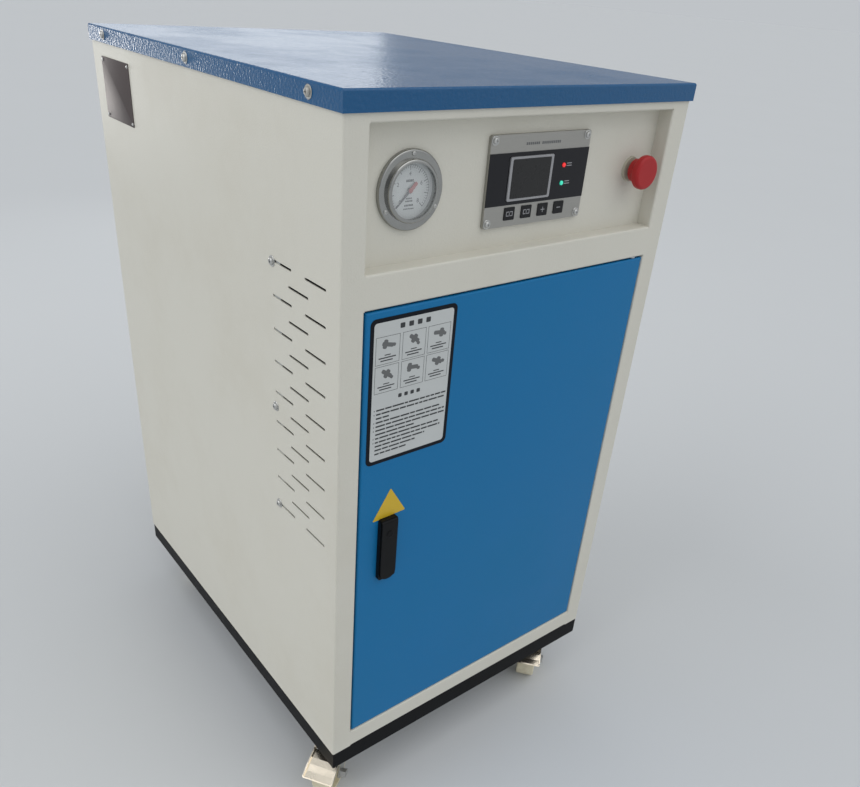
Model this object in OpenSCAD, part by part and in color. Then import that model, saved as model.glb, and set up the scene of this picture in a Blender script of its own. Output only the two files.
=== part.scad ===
// Electric steam boiler in a sheet-metal cabinet on casters.
// Millimetres, +X right, +Y back, +Z up, origin on the floor under the middle of the whole outline.

/* [Cabinet] */
// Width over the side panels
body_w = 500; // [460:5:640]
// Depth from the front face to the back panel
body_d = 650; // [600:5:850]
// Height of the panels between the base frame and the cover
body_h = 858; // [800:1:1100]
// Thickness of the folded sheet
sheet_t = 1.5; // [1:0.1:2]
// Inside radius of every fold
fold_in = 1; // [0.5:0.1:2]
// Width of each front post
post_w = 29; // [26:1:40]
// How far a front post runs back along the side
post_side = 15; // [8:1:20]
// Depth of the folds round the door, and of the control recess
jamb_d = 20; // [16:1:30]
// Height of the rail under the door
bottom_rail_h = 29; // [22:1:45]
// Height of the rail between the door and the control recess
middle_rail_h = 38; // [26:1:60]
// Height of the rail under the cover
top_rail_h = 28; // [24:1:40]
// Height of the control recess
tray_h = 141; // [134:1:170]
// Fold round the control tray, back along the sides of the recess
tray_lip = 10; // [6:1:16]
// Forward fold on each side of the back panel
back_lip = 15; // [10:1:30]
// Gap round the floor pan
pan_gap = 2; // [1:0.5:5]

/* [Cover] */
// Height of the skirt round the cover
skirt_h = 20; // [14:1:26]
// How far the cover reaches past the panels
cover_over = 2.5; // [2:0.1:6]

/* [Side slots] */
// Length of a slot
slot_l = 42; // [20:1:42]
// Width of a slot
slot_w = 3; // [2:0.5:8]
// Rows in the two outer columns
slot_rows = 9; // [3:1:9]
// Height from one row to the next in a column
slot_pitch = 40; // [24:1:42]
// Distance from one column to the next
slot_step = 34.7; // [30:0.1:36]
// Middle of the first column, from the front face
slot_first = 47.5; // [40:0.5:60]
// Middle of the slot field, from the foot of the panel
slot_mid_z = 510; // [400:1:520]

/* [Base frame] */
// Height of the channel round the base
base_h = 30; // [24:1:50]
// Width of the channel's flanges
base_flange = 30; // [24:1:36]
// Thickness of the channel
base_t = 3; // [2:0.5:4]
// How far the channel stands inside the panels
base_inset = 1; // [0:0.5:4]
// How far a corner plate reaches past each side of a caster's plate
gusset_over = 15; // [10:1:25]

/* [Door] */
// Gap round the door
door_gap = 2; // [1.8:0.1:4]
// Hinge pin to the door's hinged edge
hinge_edge = 14; // [12:0.5:18]
// Hinge pin to the front face
hinge_deep = 6; // [5.5:0.1:7]
// Diameter of the hinge pins
hinge_pin_d = 5; // [4:0.5:6]
// How far a hinge pin reaches into the door
hinge_pin_in = 6; // [4:0.5:10]
// Radial clearance of pins and axles that turn
run_clear = 0.05; // [0.02:0.01:0.1]
// Width of the stiffener inside the door
stiffener_w = 40; // [30:1:80]
// Depth of the stiffener inside the door
stiffener_d = 12; // [8:1:14]

/* [Door lock] */
// Width of the lock
lock_w = 25.5; // [22:0.5:30]
// Height of the lock
lock_h = 90.5; // [84:0.5:120]
// Middle of the lock to the door's edge
lock_edge = 40.5; // [36:0.5:60]
// Top of the lock above the foot of the door opening
lock_top = 354; // [300:1:400]
// How far the lock's bezel stands out of the door
lock_out = 6; // [5:0.5:8]
// Thickness of the lever
lever_t = 7; // [6:0.5:8]
// Bezel seen at each side of the lever
lever_margin = 1.2; // [1:0.1:3]

/* [Pressure gauge] */
// Diameter of the flange
gauge_flange_d = 80; // [76:1:84]
// Diameter of the bezel
gauge_bezel_d = 63; // [56:1:66]
// Height of the bezel over the tray
gauge_bezel_h = 10; // [9:0.5:13]
// Depth of the case behind the tray
gauge_depth = 26; // [20:1:40]
// Middle of the gauge from the left side of the cabinet
gauge_x = 91.5; // [80:0.5:110]
// Middle of the gauge above the recess's lower edge
gauge_z = 73.5; // [60:0.5:80]

/* [Controller] */
// Width of the plate
plate_w = 154; // [140:1:170]
// Height of the plate
plate_h = 98; // [94:1:104]
// Thickness of the plate
plate_t = 4; // [2:0.5:5]
// Middle of the plate from the left side of the cabinet
plate_x = 270; // [240:1:290]
// Middle of the plate above the recess's lower edge
plate_z = 72; // [66:0.5:76]
// Depth of the housing behind the plate
housing_deep = 48; // [30:1:70]
// Height of the dark strip across the plate
strip_h = 55.5; // [52:0.5:58]
// Width of the screen's frame
screen_w = 66; // [50:1:70]
// Height of the screen's frame
screen_h = 47; // [40:1:50]
// Width of the rim round the screen
screen_rim = 3.5; // [2:0.5:5]
// Side of a key
key_side = 15.7; // [10:0.1:18]
// Distance from one key to the next
key_pitch = 26.2; // [20:0.1:30]
// Number of keys
key_count = 4; // [2:1:4]
// Diameter of a lamp
lamp_d = 5; // [3:0.5:8]

/* [Emergency stop] */
// Diameter of the mushroom head
stop_d = 40; // [36:1:44]
// Thickness of the mushroom head
stop_head_h = 10; // [8:0.5:12]
// Diameter of the neck behind the head
stop_neck_d = 27; // [24:1:34]
// Length of the neck behind the head
stop_neck_h = 10; // [6:0.5:14]
// Middle of the head from the right side of the cabinet
stop_x = 65.5; // [56:0.5:80]
// Middle of the head above the recess's lower edge
stop_z = 71; // [60:0.5:80]
// Travel of the head when it is pushed
stop_travel = 4; // [2:0.5:5]

/* [Casters] */
// Height from the floor to the base frame
caster_h = 88; // [86:1:110]
// Diameter of a wheel
wheel_d = 64; // [56:1:66]
// Width of a wheel's tread
wheel_w = 30; // [24:0.5:32]
// Diameter of the axle
axle_d = 8; // [6:0.5:10]
// Distance from the swivel to the axle
trail = 28; // [26:0.5:32]
// Mounting plate across the cabinet
foot_w = 65; // [58:1:75]
// Mounting plate along the cabinet
foot_l = 95; // [80:1:110]
// Bolt hole in a mounting plate
foot_hole_d = 8.5; // [6.5:0.5:10]
// Bolt hole to the mounting plate's edges
foot_hole_in = 10; // [8:0.5:14]
// Diameter of the swivel race
race_d = 46; // [42:1:50]
// Swivel from the side of the cabinet
caster_in_x = 44; // [42:1:55]
// Swivel from the front or the back of the cabinet
caster_in_y = 57; // [52:1:70]

/* [Rear fittings] */
// Outside diameter of a pipe
pipe_d = 21.3; // [17:0.1:27]
// Radius of a pipe socket's bore
pipe_bore_r = 9.3; // [7:0.1:12]
// Length of a ball valve
valve_l = 52; // [44:1:60]
// Length of a valve's handle
handle_l = 85; // [60:1:95]
// Height of the two upper outlets over the base frame
upper_pipe_z = 560; // [500:5:600]
// Height of the inlet and the drain over the base frame
lower_pipe_z = 190; // [170:5:220]
// Cable gland from the right side of the cabinet
gland_in = 60; // [40:1:80]
// Height of the cable gland over the base frame
gland_z = 300; // [240:5:400]

/* [Inside] */
// Diameter of the boiler drum
drum_d = 300; // [240:1:320]
// Height of the drum's straight shell
drum_shell_h = 430; // [300:1:520]
// Wall of the drum
drum_wall = 5; // [3:0.5:8]
// Middle of the drum from the front face
drum_in_y = 430; // [425:1:440]
// Lowest point of the drum above the floor pan
drum_lift = 70; // [60:1:90]
// Web of the electrical plate, from the front face
web_y = 150; // [140:1:165]
// Depth of the electrical plate's side flanges
web_flange = 28; // [20:1:32]
// Height of the electrical plate
web_h = 360; // [300:1:380]
// Foot of the electrical plate above the base frame
web_z = 330; // [280:1:340]
// Length of a hat rail
hat_len = 380; // [300:5:400]
// Lower hat rail above the foot of the electrical plate
hat_low = 110; // [80:1:120]
// Upper hat rail above the foot of the electrical plate
hat_high = 260; // [240:1:260]
// Width of a contactor
contactor_w = 45; // [40:1:50]
// Distance from one contactor to the next
contactor_pitch = 54; // [50:1:60]
// Width of the breaker
breaker_w = 54; // [50:1:60]
// Diameter of the pump's motor
motor_d = 104; // [80:1:106]
// Length of the pump's motor
motor_l = 120; // [100:1:130]

/* [Hidden] */
$fn = 48;
large_fn = 96;
hexagon = 6;

// Through cuts run this far past a face
past = 1;

// Cabinet outline
fold_out = fold_in + sheet_t;
valve_from = 18;
lever_floor = 1;
lever_gap = 0.3;
lever_front = lever_floor + lever_gap + lever_t;
front_reach = lever_front;
rear_reach = valve_from + valve_l;
front_y = -(body_d + rear_reach - front_reach) / 2;
back_y = front_y + body_d;
mid_y = front_y + body_d / 2;
left_x = -body_w / 2;
right_x = body_w / 2;
foot_z = caster_h + base_h;
panel_top = foot_z + body_h;
open_w = body_w - 2 * post_w;
door_foot = foot_z + bottom_rail_h;
door_open_h = body_h - bottom_rail_h - middle_rail_h - tray_h - top_rail_h;
tray_foot = door_foot + door_open_h + middle_rail_h;
tray_face_y = front_y + jamb_d;
tray_jamb_d = jamb_d + tray_lip;
floor_z = foot_z + sheet_t;

// Door outline, its pins and its stiffener
door_w = open_w - 2 * door_gap;
door_h = door_open_h - 2 * door_gap;
door_z = door_foot + door_gap;
hinge_x = door_w / 2 - hinge_edge;
hinge_y = front_y + hinge_deep;
hinge_washer_d = hinge_pin_d + 4;
hinge_washer_gap = 0.3;
stiffener_end = 30;
stiffener_lip = 12;

// Lock: its bezel, its box behind the door and the cam
bezel_r = 3;
lock_x = -door_w / 2 + lock_edge;
lock_z = door_foot + lock_top;
lock_mid = lock_z - lock_h / 2;
lock_box_w = 14;
lock_box_in = 8;
lock_box_d = 22;
lock_shaft_d = 12;
lock_shaft_l = 4;
lock_shaft_in = 22;
cam_w = 16;
cam_l = 46;
cam_t = 3;
lever_side_gap = 0.5;
lever_w = lock_w - 2 * lever_margin;
lever_foot = -lock_h / 2;
lever_head = lock_h / 2 - lever_margin;
lever_end_r = lever_w / 2 - 1;
lever_axis = [lever_head - lever_t / 2, lever_floor + lever_gap + lever_t / 2];
lever_pin_d = 2;
lever_pin_l = lock_w - lever_margin + lever_side_gap;

// Gauge
gauge_at = [left_x + gauge_x, tray_face_y, tray_foot + gauge_z];
gauge_case_d = gauge_bezel_d - 2;
gauge_dial_d = gauge_bezel_d - 5;
gauge_flange_t = 5;
gauge_flange_r = 2;
gauge_edge_r = 2.5;
gauge_seat = 1.5;
gauge_rim_t = 3;
gauge_hole_gap = 0.5;
glass_t = 1.5;
stem_d = 13;
stem_l = 24;
dial_t = 1;
dial_z = 1;
gauge_cavity = gauge_bezel_h - gauge_rim_t - dial_z + dial_t;
pointer_pin_d = 2;
pointer_pin_l = 3;
pointer_lift = 1;
pointer_hub_d = 6;
pointer_hub_t = 1.2;
pointer_t = 0.8;
pointer_len = gauge_dial_d / 2 - 6;
pointer_tail = 9;
pointer_wide = 2;
pointer_mid = 1.4;
pointer_tip = 0.3;
pointer_start = 225;

// Controller
plate_at = [left_x + plate_x, tray_face_y, tray_foot + plate_z];
plate_r = 3;
housing_in = 7;
housing_gap = 0.5;
strip_t = 0.6;
strip_up = 2.5;
screen_t = 1.4;
screen_deep = 0.7;
screen_r = 2;
screen_left = 14;
key_tall = key_side * 0.9;
key_t = 0.8;
key_r = 1;
key_drop = 35;
lamp_t = 1;
lamp_right = 38;
lamp_up = [12.6, -7.3];
lamp_colours = [[0.8, 0.15, 0.1], [0.1, 0.6, 0.45]];

// Stop button
stop_at = [right_x - stop_x, tray_face_y, tray_foot + stop_z];
stop_hole_d = 22;
stop_hole_gap = 0.25;
stop_stem_d = 10;
stop_stem_in = 2;
stop_collar_h = 3;
stop_collar_d = [30, 28];
stop_nut_d = 29;
stop_nut_h = 5;
stop_body = [30, 32, 40];
stop_body_from = 20;
stop_gap = 1;
stop_base = stop_collar_h + stop_travel + stop_gap;
stop_back_r = 2.5;
stop_face_r = 4;

// Casters: front left, front right, rear left, rear right, each with its heading
caster_heading = [214, 219, 15, -15];
foot_t = 2.5;
foot_r = 6;
race_top = caster_h - foot_t;
race_h = 5.5;
race_gap = 0.3;
crown_t = 3;
crown_d = race_d + 4;
crown_ring_h = 4.7;
crown_top = race_top - race_h - race_gap - crown_ring_h;
crown_nose = 24;
fork_gap = wheel_w / 2 + 2;
fork_t = 2.5;
fork_out = fork_gap + fork_t;
fork_back = 12;
fork_end_r = 10;
kingpin_d = 10;
kingpin_head_d = 17;
kingpin_head_h = 3.4;
kingpin_gap = 0.2;
axle_z = wheel_d / 2;
nut_d = axle_d * 1.7;
bolt_head_h = 8;
nut_h = 5;

// Wheel section: hub, web and rim
hub_wall = 6;
hub_gap = 0.5;
web_half = 4;
rim_t = 8;
tread_r = 3;
wheel_lap = 1;

// Brake pedal: bends of its tread plate, from the axle's distance and the wheel's top
pedal_bends = [[5, 7], [18, 4], [26, -0.5], [34, -6], [43, -10], [45.5, -7]];
pedal_line = [for (bend = pedal_bends) [trail + bend[0], wheel_d + bend[1]]];
pedal_pin_d = 5;
pedal_gap = 0.3;
pedal_t = 2;
pedal_side = fork_out + pedal_gap;
pedal_half = pedal_side + pedal_t;
pedal_pivot = [10, crown_top - 10];
pedal_eye_r = 5.5;
pedal_rims = [6, 6, 6, 6, 5, 2.6];
pedal_lap = 0.5;
pedal_corner = 2;
pedal_flare = 1.8;
pedal_flare_from = 16;
pedal_tip = pedal_line[len(pedal_line) - 1][0];
pedal_reach = pedal_half + pedal_flare + past;
pedal_tab_w = 5;
pedal_tab_up = 14;

// Rear fittings
pipe_gap = 1;
hex_d = 31;
hex_l = 12;
valve_body_d = 36;
valve_bore_l = 15;
valve_stem_d = 12;
valve_stem_h = 30;
handle_t = 3;
handle_w = 14;
handle_hub_d = 22;
steam_at = [-95, foot_z + upper_pipe_z];
safety_at = [70, foot_z + upper_pipe_z];
inlet_at = [-90, foot_z + lower_pipe_z];
drain_at = [85, foot_z + lower_pipe_z];
safety_out = 45;
safety_hex_from = 14;
safety_pipe_l = 40;
safety_drop = 16;
safety_body = [30, 50];
safety_bonnet = [24, 34];
safety_cap = [14, 8];
safety_port = [26, 30];
safety_port_up = 14;
safety_bore_l = 15;
inlet_nut_d = 36;
inlet_nut_l = 8;
inlet_body_d = 28;
inlet_l = 36;
inlet_pipe_l = 10;
inlet_bore_l = 16;
gland_at = [right_x - gland_in, foot_z + gland_z];
gland_d = 25;
gland_hex_d = 36;
gland_in_l = 12;
gland_out_l = 24;
gland_flange_l = 7;
gland_nut_l = 6;
gland_cap_d = 33;
gland_cap_from = 10;
gland_l = 30;
gland_bore_d = 15;
gland_hole_gap = 0.25;

// Drum, its heater and its legs
drum_y = front_y + drum_in_y;
drum_foot = floor_z + drum_lift;
drum_head_h = drum_d / 4;
drum_low = drum_foot + drum_head_h;
leg_d = 24;
leg_in = 30;
leg_turns = [30, 150, 270];
heater_up = 60;
heater_neck = [110, 22];
heater_flange = [150, 14];
heater_cap = [90, 30];

// Feed pump, from the middle of its foot
pump_x = -130;
pump_in_y = 225;
pump_at = [pump_x, front_y + pump_in_y];
pump_foot = [90, 120, 8];
pump_stand = [30, 100, 25];
pump_axis_z = 75;
motor_back = 80;
fin_count = 7;
fin_t = 3;
fin_h = 3;
fin_margin = 12;
pump_flange = [116, 10];
pump_head = [90, 30];

// Switchgear on its hat rails
rail_y = front_y + web_y - sheet_t;
rail_z = [foot_z + web_z + hat_low, foot_z + web_z + hat_high];
hat_w = 35;
hat_lip = 5;
hat_t = 1;
hat_d = 7.5;
contactor_count = 3;
contactor_x = -60;
contactor_size = [contactor_w, 50, 76];
contactor_step = [72, 58];
breaker_x = -90;
breaker_size = [breaker_w, 44, 80];
breaker_step = [64, 46];
toggle = [9, 8, 14];
pocket_w = 9;
pocket_h = 7;
pocket_d = 16;
poles = 3;

function caster_side(i) = i % 2 == 0 ? -1 : 1;
function caster_xy(i) = [caster_side(i) * (body_w / 2 - caster_in_x),
    i < 2 ? front_y + caster_in_y : back_y - caster_in_y];

// Direction across a line of points at one of them, and the mitred point beside it
function across(from, to) = [from[1] - to[1], to[0] - from[0]] / norm(to - from);
function beside(points, i, by) = let (last = len(points) - 1, before = across(points[max(i, 1) - 1],
    points[max(i, 1)]), after = across(points[min(i, last - 1)], points[min(i, last - 1) + 1]))
    points[i] + by * (before + after) / (1 + before * after);

// One quarter of a fold, centred on its bend and turned into place
module fold(turn) {
    rotate(turn)
        intersection() {
            difference() {
                circle(r = fold_out);
                circle(r = fold_in);
            }
            square(fold_out);
        }
}

// Shape drawn in the front view, standing towards the viewer from a point
module facing_front(at) {
    translate(at)
        rotate([90, 0, 0])
            children();
}

// Outline of a slot with round ends, long way across
module slot_shape(length, width) {
    square([length - width, width], center = true);
    for (side = [-1, 1])
        translate([side * (length - width) / 2, 0])
            circle(d = width);
}

// Rectangle with round corners
module round_rect(w, h, r) {
    square([w - 2 * r, h], center = true);
    square([w, h - 2 * r], center = true);
    for (x = [-1, 1], y = [-1, 1])
        translate([x * (w / 2 - r), y * (h / 2 - r)])
            circle(r = r);
}

// Outline seen from the end of a pan: round at its two far corners
module pan_end(w, h, r) {
    translate([-w / 2, 0])
        square([w, h - r]);
    translate([-w / 2 + r, h - r])
        square([w - 2 * r, r]);
    for (side = [-1, 1])
        translate([side * (w / 2 - r), h - r])
            circle(r = r);
}

// Block with round upper edges on four sides
module crowned_block(w, d, h, r) {
    intersection() {
        translate([0, d / 2, 0])
            rotate([90, 0, 0])
                linear_extrude(d)
                    pan_end(w, h, r);
        translate([-w / 2, 0, 0])
            rotate([90, 0, 90])
                linear_extrude(w)
                    pan_end(d, h, r);
    }
}

// Sheet pan, open underneath, with folded edges
module pan(w, d, h) {
    difference() {
        crowned_block(w, d, h, fold_out);
        translate([0, 0, -past])
            crowned_block(w - 2 * sheet_t, d - 2 * sheet_t, h - sheet_t + past, fold_in);
    }
}

// Strip along a bent line, seen from its edge, from one distance beside the line to another
module bent_strip(points, low, high) {
    count = len(points);
    polygon([for (i = [0:2 * count - 1])
        i < count ? beside(points, i, low) : beside(points, 2 * count - 1 - i, high)]);
}

// Channel ring under the cabinet, with a corner plate over each caster
module base_frame() {
    w = body_w - 2 * base_inset;
    d = body_d - 2 * base_inset;
    color([0.07, 0.07, 0.08])
        translate([0, mid_y, caster_h])
            difference() {
                translate([-w / 2, -d / 2, 0])
                    cube([w, d, base_h]);
                translate([-w / 2 + base_t, -d / 2 + base_t, base_t])
                    cube([w - 2 * base_t, d - 2 * base_t, base_h - 2 * base_t]);
                translate([-w / 2 + base_flange, -d / 2 + base_flange, base_h / 2])
                    cube([w - 2 * base_flange, d - 2 * base_flange, base_h]);
                difference() {
                    translate([-w / 2 + base_flange, -d / 2 + base_flange, -past])
                        cube([w - 2 * base_flange, d - 2 * base_flange, base_h / 2]);
                    for (i = [0:3])
                        translate([caster_xy(i)[0], caster_xy(i)[1] - mid_y, 0])
                            cube([foot_w + 2 * gusset_over, foot_l + 2 * gusset_over, base_h], center = true);
                }
                for (i = [0:3])
                    translate([caster_xy(i)[0], caster_xy(i)[1] - mid_y, -past])
                        foot_holes(base_t + 2 * past);
            }
}

// The four bolt holes of a caster plate
module foot_holes(depth) {
    for (x = [-1, 1], y = [-1, 1])
        translate([x * (foot_w / 2 - foot_hole_in), y * (foot_l / 2 - foot_hole_in), 0])
            cylinder(d = foot_hole_d, h = depth);
}

// Flat floor between the jambs of the door opening and the back panel's folds
module floor_pan() {
    w = body_w - 2 * sheet_t;
    color([0.8, 0.8, 0.78])
        translate([-w / 2, front_y + jamb_d + pan_gap, foot_z])
            cube([w, body_d - jamb_d - back_lip - 2 * pan_gap, sheet_t]);
}

// Flat sheet between a front post and the back, with three columns of slots
module side_panel() {
    color([0.87, 0.86, 0.81])
        translate([left_x, 0, 0])
            rotate([90, 0, 90])
                linear_extrude(sheet_t)
                    difference() {
                        translate([front_y + post_side, foot_z])
                            square([body_d - post_side, body_h]);
                        slot_field();
                    }
}

// The middle column has one slot fewer and stands half a pitch higher
module slot_field() {
    for (column = [0:2], row = [0:slot_rows - 1]) {
        inner = column == 1;
        if (!inner || row < slot_rows - 1)
            translate([front_y + slot_first + column * slot_step,
                    foot_z + slot_mid_z + (row - (slot_rows - 1) / 2 + (inner ? 0.5 : 0)) * slot_pitch])
                slot_shape(slot_l, slot_w);
    }
}

module left_side_panel() {
    side_panel();
}

module right_side_panel() {
    mirror([1, 0, 0])
        side_panel();
}

// Folded post on the left: side leg, rounded corner, face, and a jamb beside each opening
module front_post() {
    color([0.87, 0.86, 0.81])
        translate([left_x, front_y, 0]) {
            translate([0, 0, foot_z])
                linear_extrude(body_h) {
                    translate([0, fold_out])
                        square([sheet_t, post_side - fold_out]);
                    translate([fold_out, fold_out])
                        fold(180);
                    translate([fold_out, 0])
                        square([post_w - 2 * fold_out, sheet_t]);
                }
            for (span = [[door_foot, door_open_h, jamb_d], [tray_foot, tray_h, tray_jamb_d]])
                translate([0, 0, span[0]])
                    linear_extrude(span[1]) {
                        translate([post_w - fold_out, fold_out])
                            fold(270);
                        translate([post_w - sheet_t, fold_out])
                            square([sheet_t, span[2] - fold_out]);
                    }
            for (span = [[foot_z, bottom_rail_h], [door_foot + door_open_h, middle_rail_h],
                    [tray_foot + tray_h, top_rail_h]])
                translate([post_w - fold_out, 0, span[0]])
                    cube([fold_out, sheet_t, span[1]]);
        }
}

module left_front_post() {
    front_post();
}

module right_front_post() {
    mirror([1, 0, 0])
        front_post();
}

// Folded rail between the posts, with a lip back from its upper and lower edge
module rail(z, h, upper_lip, lower_lip) {
    color([0.87, 0.86, 0.81])
        translate([-open_w / 2, front_y, z])
            rotate([90, 0, 90])
                linear_extrude(open_w) {
                    translate([0, fold_out])
                        square([sheet_t, h - 2 * fold_out]);
                    translate([fold_out, h - fold_out])
                        fold(90);
                    translate([fold_out, h - sheet_t])
                        square([upper_lip - fold_out, sheet_t]);
                    translate([fold_out, fold_out])
                        fold(180);
                    translate([fold_out, 0])
                        square([lower_lip - fold_out, sheet_t]);
                }
}

module top_rail() {
    rail(panel_top - top_rail_h, top_rail_h, jamb_d, tray_jamb_d);
}

module middle_rail() {
    rail(door_foot + door_open_h, middle_rail_h, tray_jamb_d, jamb_d);
}

module bottom_rail() {
    rail(foot_z, bottom_rail_h, jamb_d, jamb_d);
}

// Back of the control recess, folded back all round, with holes for what it carries
module control_tray() {
    color([0.87, 0.86, 0.81])
        difference() {
            translate([-open_w / 2, tray_face_y, tray_foot])
                cube([open_w, tray_lip, tray_h]);
            translate([-open_w / 2 + sheet_t, tray_face_y + sheet_t, tray_foot + sheet_t])
                cube([open_w - 2 * sheet_t, tray_lip, tray_h - 2 * sheet_t]);
            facing_front(gauge_at)
                translate([0, 0, -sheet_t - past])
                    cylinder(d = gauge_case_d + 2 * gauge_hole_gap, h = sheet_t + 2 * past);
            facing_front(plate_at)
                translate([0, 0, -sheet_t - past])
                    linear_extrude(sheet_t + 2 * past)
                        square([plate_w - 2 * (housing_in - housing_gap),
                            plate_h - 2 * (housing_in - housing_gap)], center = true);
            facing_front(stop_at)
                translate([0, 0, -sheet_t - past])
                    cylinder(d = stop_hole_d + 2 * stop_hole_gap, h = sheet_t + 2 * past);
        }
}

// Back sheet between the side panels, folded forward at both sides
module back_panel() {
    half = body_w / 2 - sheet_t;
    color([0.87, 0.86, 0.81])
        difference() {
            translate([0, back_y, foot_z])
                linear_extrude(body_h)
                    for (side = [0, 1])
                        mirror([side, 0]) {
                            translate([0, -sheet_t])
                                square([half - fold_out, sheet_t]);
                            translate([half - fold_out, -fold_out])
                                fold(0);
                            translate([half - sheet_t, -back_lip])
                                square([sheet_t, back_lip - fold_out]);
                        }
            for (at = [steam_at, safety_at, inlet_at, drain_at])
                through_back(at, pipe_d + 2 * pipe_gap);
            through_back(gland_at, gland_d + 2 * gland_hole_gap);
        }
}

module through_back(at, d) {
    translate([at[0], back_y + past, at[1]])
        rotate([90, 0, 0])
            cylinder(d = d, h = sheet_t + 2 * past);
}

// Sheet cover with a skirt all round
module top_cover() {
    color([0.16, 0.36, 0.58])
        translate([0, mid_y, panel_top + sheet_t - skirt_h])
            pan(body_w + 2 * cover_over, body_d + 2 * cover_over, skirt_h);
}

// Electrical plate with side flanges and two hat rails
module mounting_plate() {
    half = body_w / 2 - sheet_t;
    color([0.83, 0.83, 0.82])
        translate([0, front_y + web_y, foot_z + web_z])
            linear_extrude(web_h)
                for (side = [0, 1])
                    mirror([side, 0]) {
                        translate([0, -sheet_t])
                            square([half - fold_out, sheet_t]);
                        translate([half - fold_out, -fold_out])
                            fold(0);
                        translate([half - sheet_t, -web_flange])
                            square([sheet_t, web_flange - fold_out]);
                    }
    color([0.75, 0.76, 0.76])
        for (z = rail_z)
            translate([-hat_len / 2, rail_y, z])
                rotate([90, 0, 90])
                    linear_extrude(hat_len)
                        hat_rail();
}

// Section of a hat rail, standing out to the front
module hat_rail() {
    wall_out = hat_w / 2 - hat_lip;
    for (side = [-1, 1]) {
        translate([-hat_d, side * (hat_w - hat_lip) / 2 - hat_lip / 2])
            square([hat_t, hat_lip]);
        translate([-hat_d, side * (wall_out + hat_t / 2) - hat_t / 2])
            square([hat_d, hat_t]);
    }
    translate([-hat_t, -wall_out - hat_t / 2])
        square([hat_t, 2 * wall_out + hat_t]);
}

// Contactors side by side on the lower rail
module contactors() {
    color([0.16, 0.17, 0.18])
        for (i = [0:contactor_count - 1])
            translate([contactor_x + (i - (contactor_count - 1) / 2) * contactor_pitch,
                    rail_y - hat_d, rail_z[0]])
                switch_block(contactor_size, contactor_step);
}

// Breaker with its toggle on the upper rail
module main_breaker() {
    color([0.88, 0.88, 0.86])
        translate([breaker_x, rail_y - hat_d, rail_z[1]]) {
            switch_block(breaker_size, breaker_step);
            translate([-toggle[0] / 2, -breaker_step[0] - toggle[1], -toggle[2] / 2])
                cube([toggle[0], toggle[1] + past, toggle[2]]);
        }
}

// Switchgear block: a raised middle, and a pocket for each wire above and below it
module switch_block(size, step) {
    difference() {
        union() {
            translate([-size[0] / 2, -size[1], -size[2] / 2])
                cube(size);
            translate([-size[0] / 2, -step[0], -step[1] / 2])
                cube([size[0], step[0] - size[1] + past, step[1]]);
        }
        for (i = [0:poles - 1], end = [-1, 1])
            translate([(i - (poles - 1) / 2) * size[0] / poles - pocket_w / 2, -size[1] - past,
                    end * size[2] / 2 - (end > 0 ? pocket_h : 0)])
                cube([pocket_w, pocket_d + past, pocket_h]);
    }
}

// Vertical drum with dished heads, a heater flange in front and three legs
module boiler_drum() {
    r = drum_d / 2;
    color([0.62, 0.64, 0.65])
        translate([0, drum_y, 0]) {
            difference() {
                rotate_extrude($fn = large_fn)
                    drum_profile(r, drum_head_h);
                rotate_extrude($fn = large_fn)
                    drum_profile(r - drum_wall, drum_head_h - drum_wall);
            }
            translate([0, -r + drum_wall / 2, drum_low + heater_up])
                rotate([90, 0, 0]) {
                    cylinder(d = heater_neck[0], h = heater_neck[1]);
                    translate([0, 0, heater_neck[1]])
                        cylinder(d = heater_flange[0], h = heater_flange[1]);
                    translate([0, 0, heater_neck[1] + heater_flange[1]])
                        cylinder(d = heater_cap[0], h = heater_cap[1]);
                }
            for (turn = leg_turns)
                rotate(turn)
                    translate([r - leg_in, 0, floor_z])
                        cylinder(d = leg_d, h = drum_low - floor_z);
        }
}

// Half outline of the drum, on its axis
module drum_profile(r, head) {
    translate([0, drum_low])
        square([r, drum_shell_h]);
    translate([0, drum_low])
        head_arc(r, -head);
    translate([0, drum_low + drum_shell_h])
        head_arc(r, head);
}

// Dished end as one arc across the drum: depth is its rise, below the shell when it is negative
module head_arc(r, depth) {
    rise = abs(depth);
    arc_r = (r * r + rise * rise) / (2 * rise);
    intersection() {
        translate([0, sign(depth) * (rise - arc_r)])
            circle(r = arc_r, $fn = large_fn);
        translate([0, depth > 0 ? 0 : -rise - past])
            square([r, rise + past]);
    }
}

// Feed pump: finned motor, pump head and foot
module feed_pump() {
    fin_step = (motor_l - 2 * fin_margin - fin_t) / (fin_count - 1);
    color([0.2, 0.35, 0.5])
        translate([pump_at[0], pump_at[1], floor_z]) {
            translate([-pump_foot[0] / 2, -pump_foot[1] / 2, 0])
                cube(pump_foot);
            translate([-pump_stand[0] / 2, -pump_stand[1] / 2, pump_foot[2]])
                cube(pump_stand);
            translate([0, motor_back, pump_axis_z])
                rotate([90, 0, 0]) {
                    cylinder(d = motor_d, h = motor_l);
                    for (i = [0:fin_count - 1])
                        translate([0, 0, fin_margin + i * fin_step])
                            cylinder(d = motor_d + 2 * fin_h, h = fin_t);
                    translate([0, 0, motor_l])
                        cylinder(d = pump_flange[0], h = pump_flange[1]);
                    translate([0, 0, motor_l + pump_flange[1]])
                        cylinder(d = pump_head[0], h = pump_head[1]);
                }
        }
}

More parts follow.
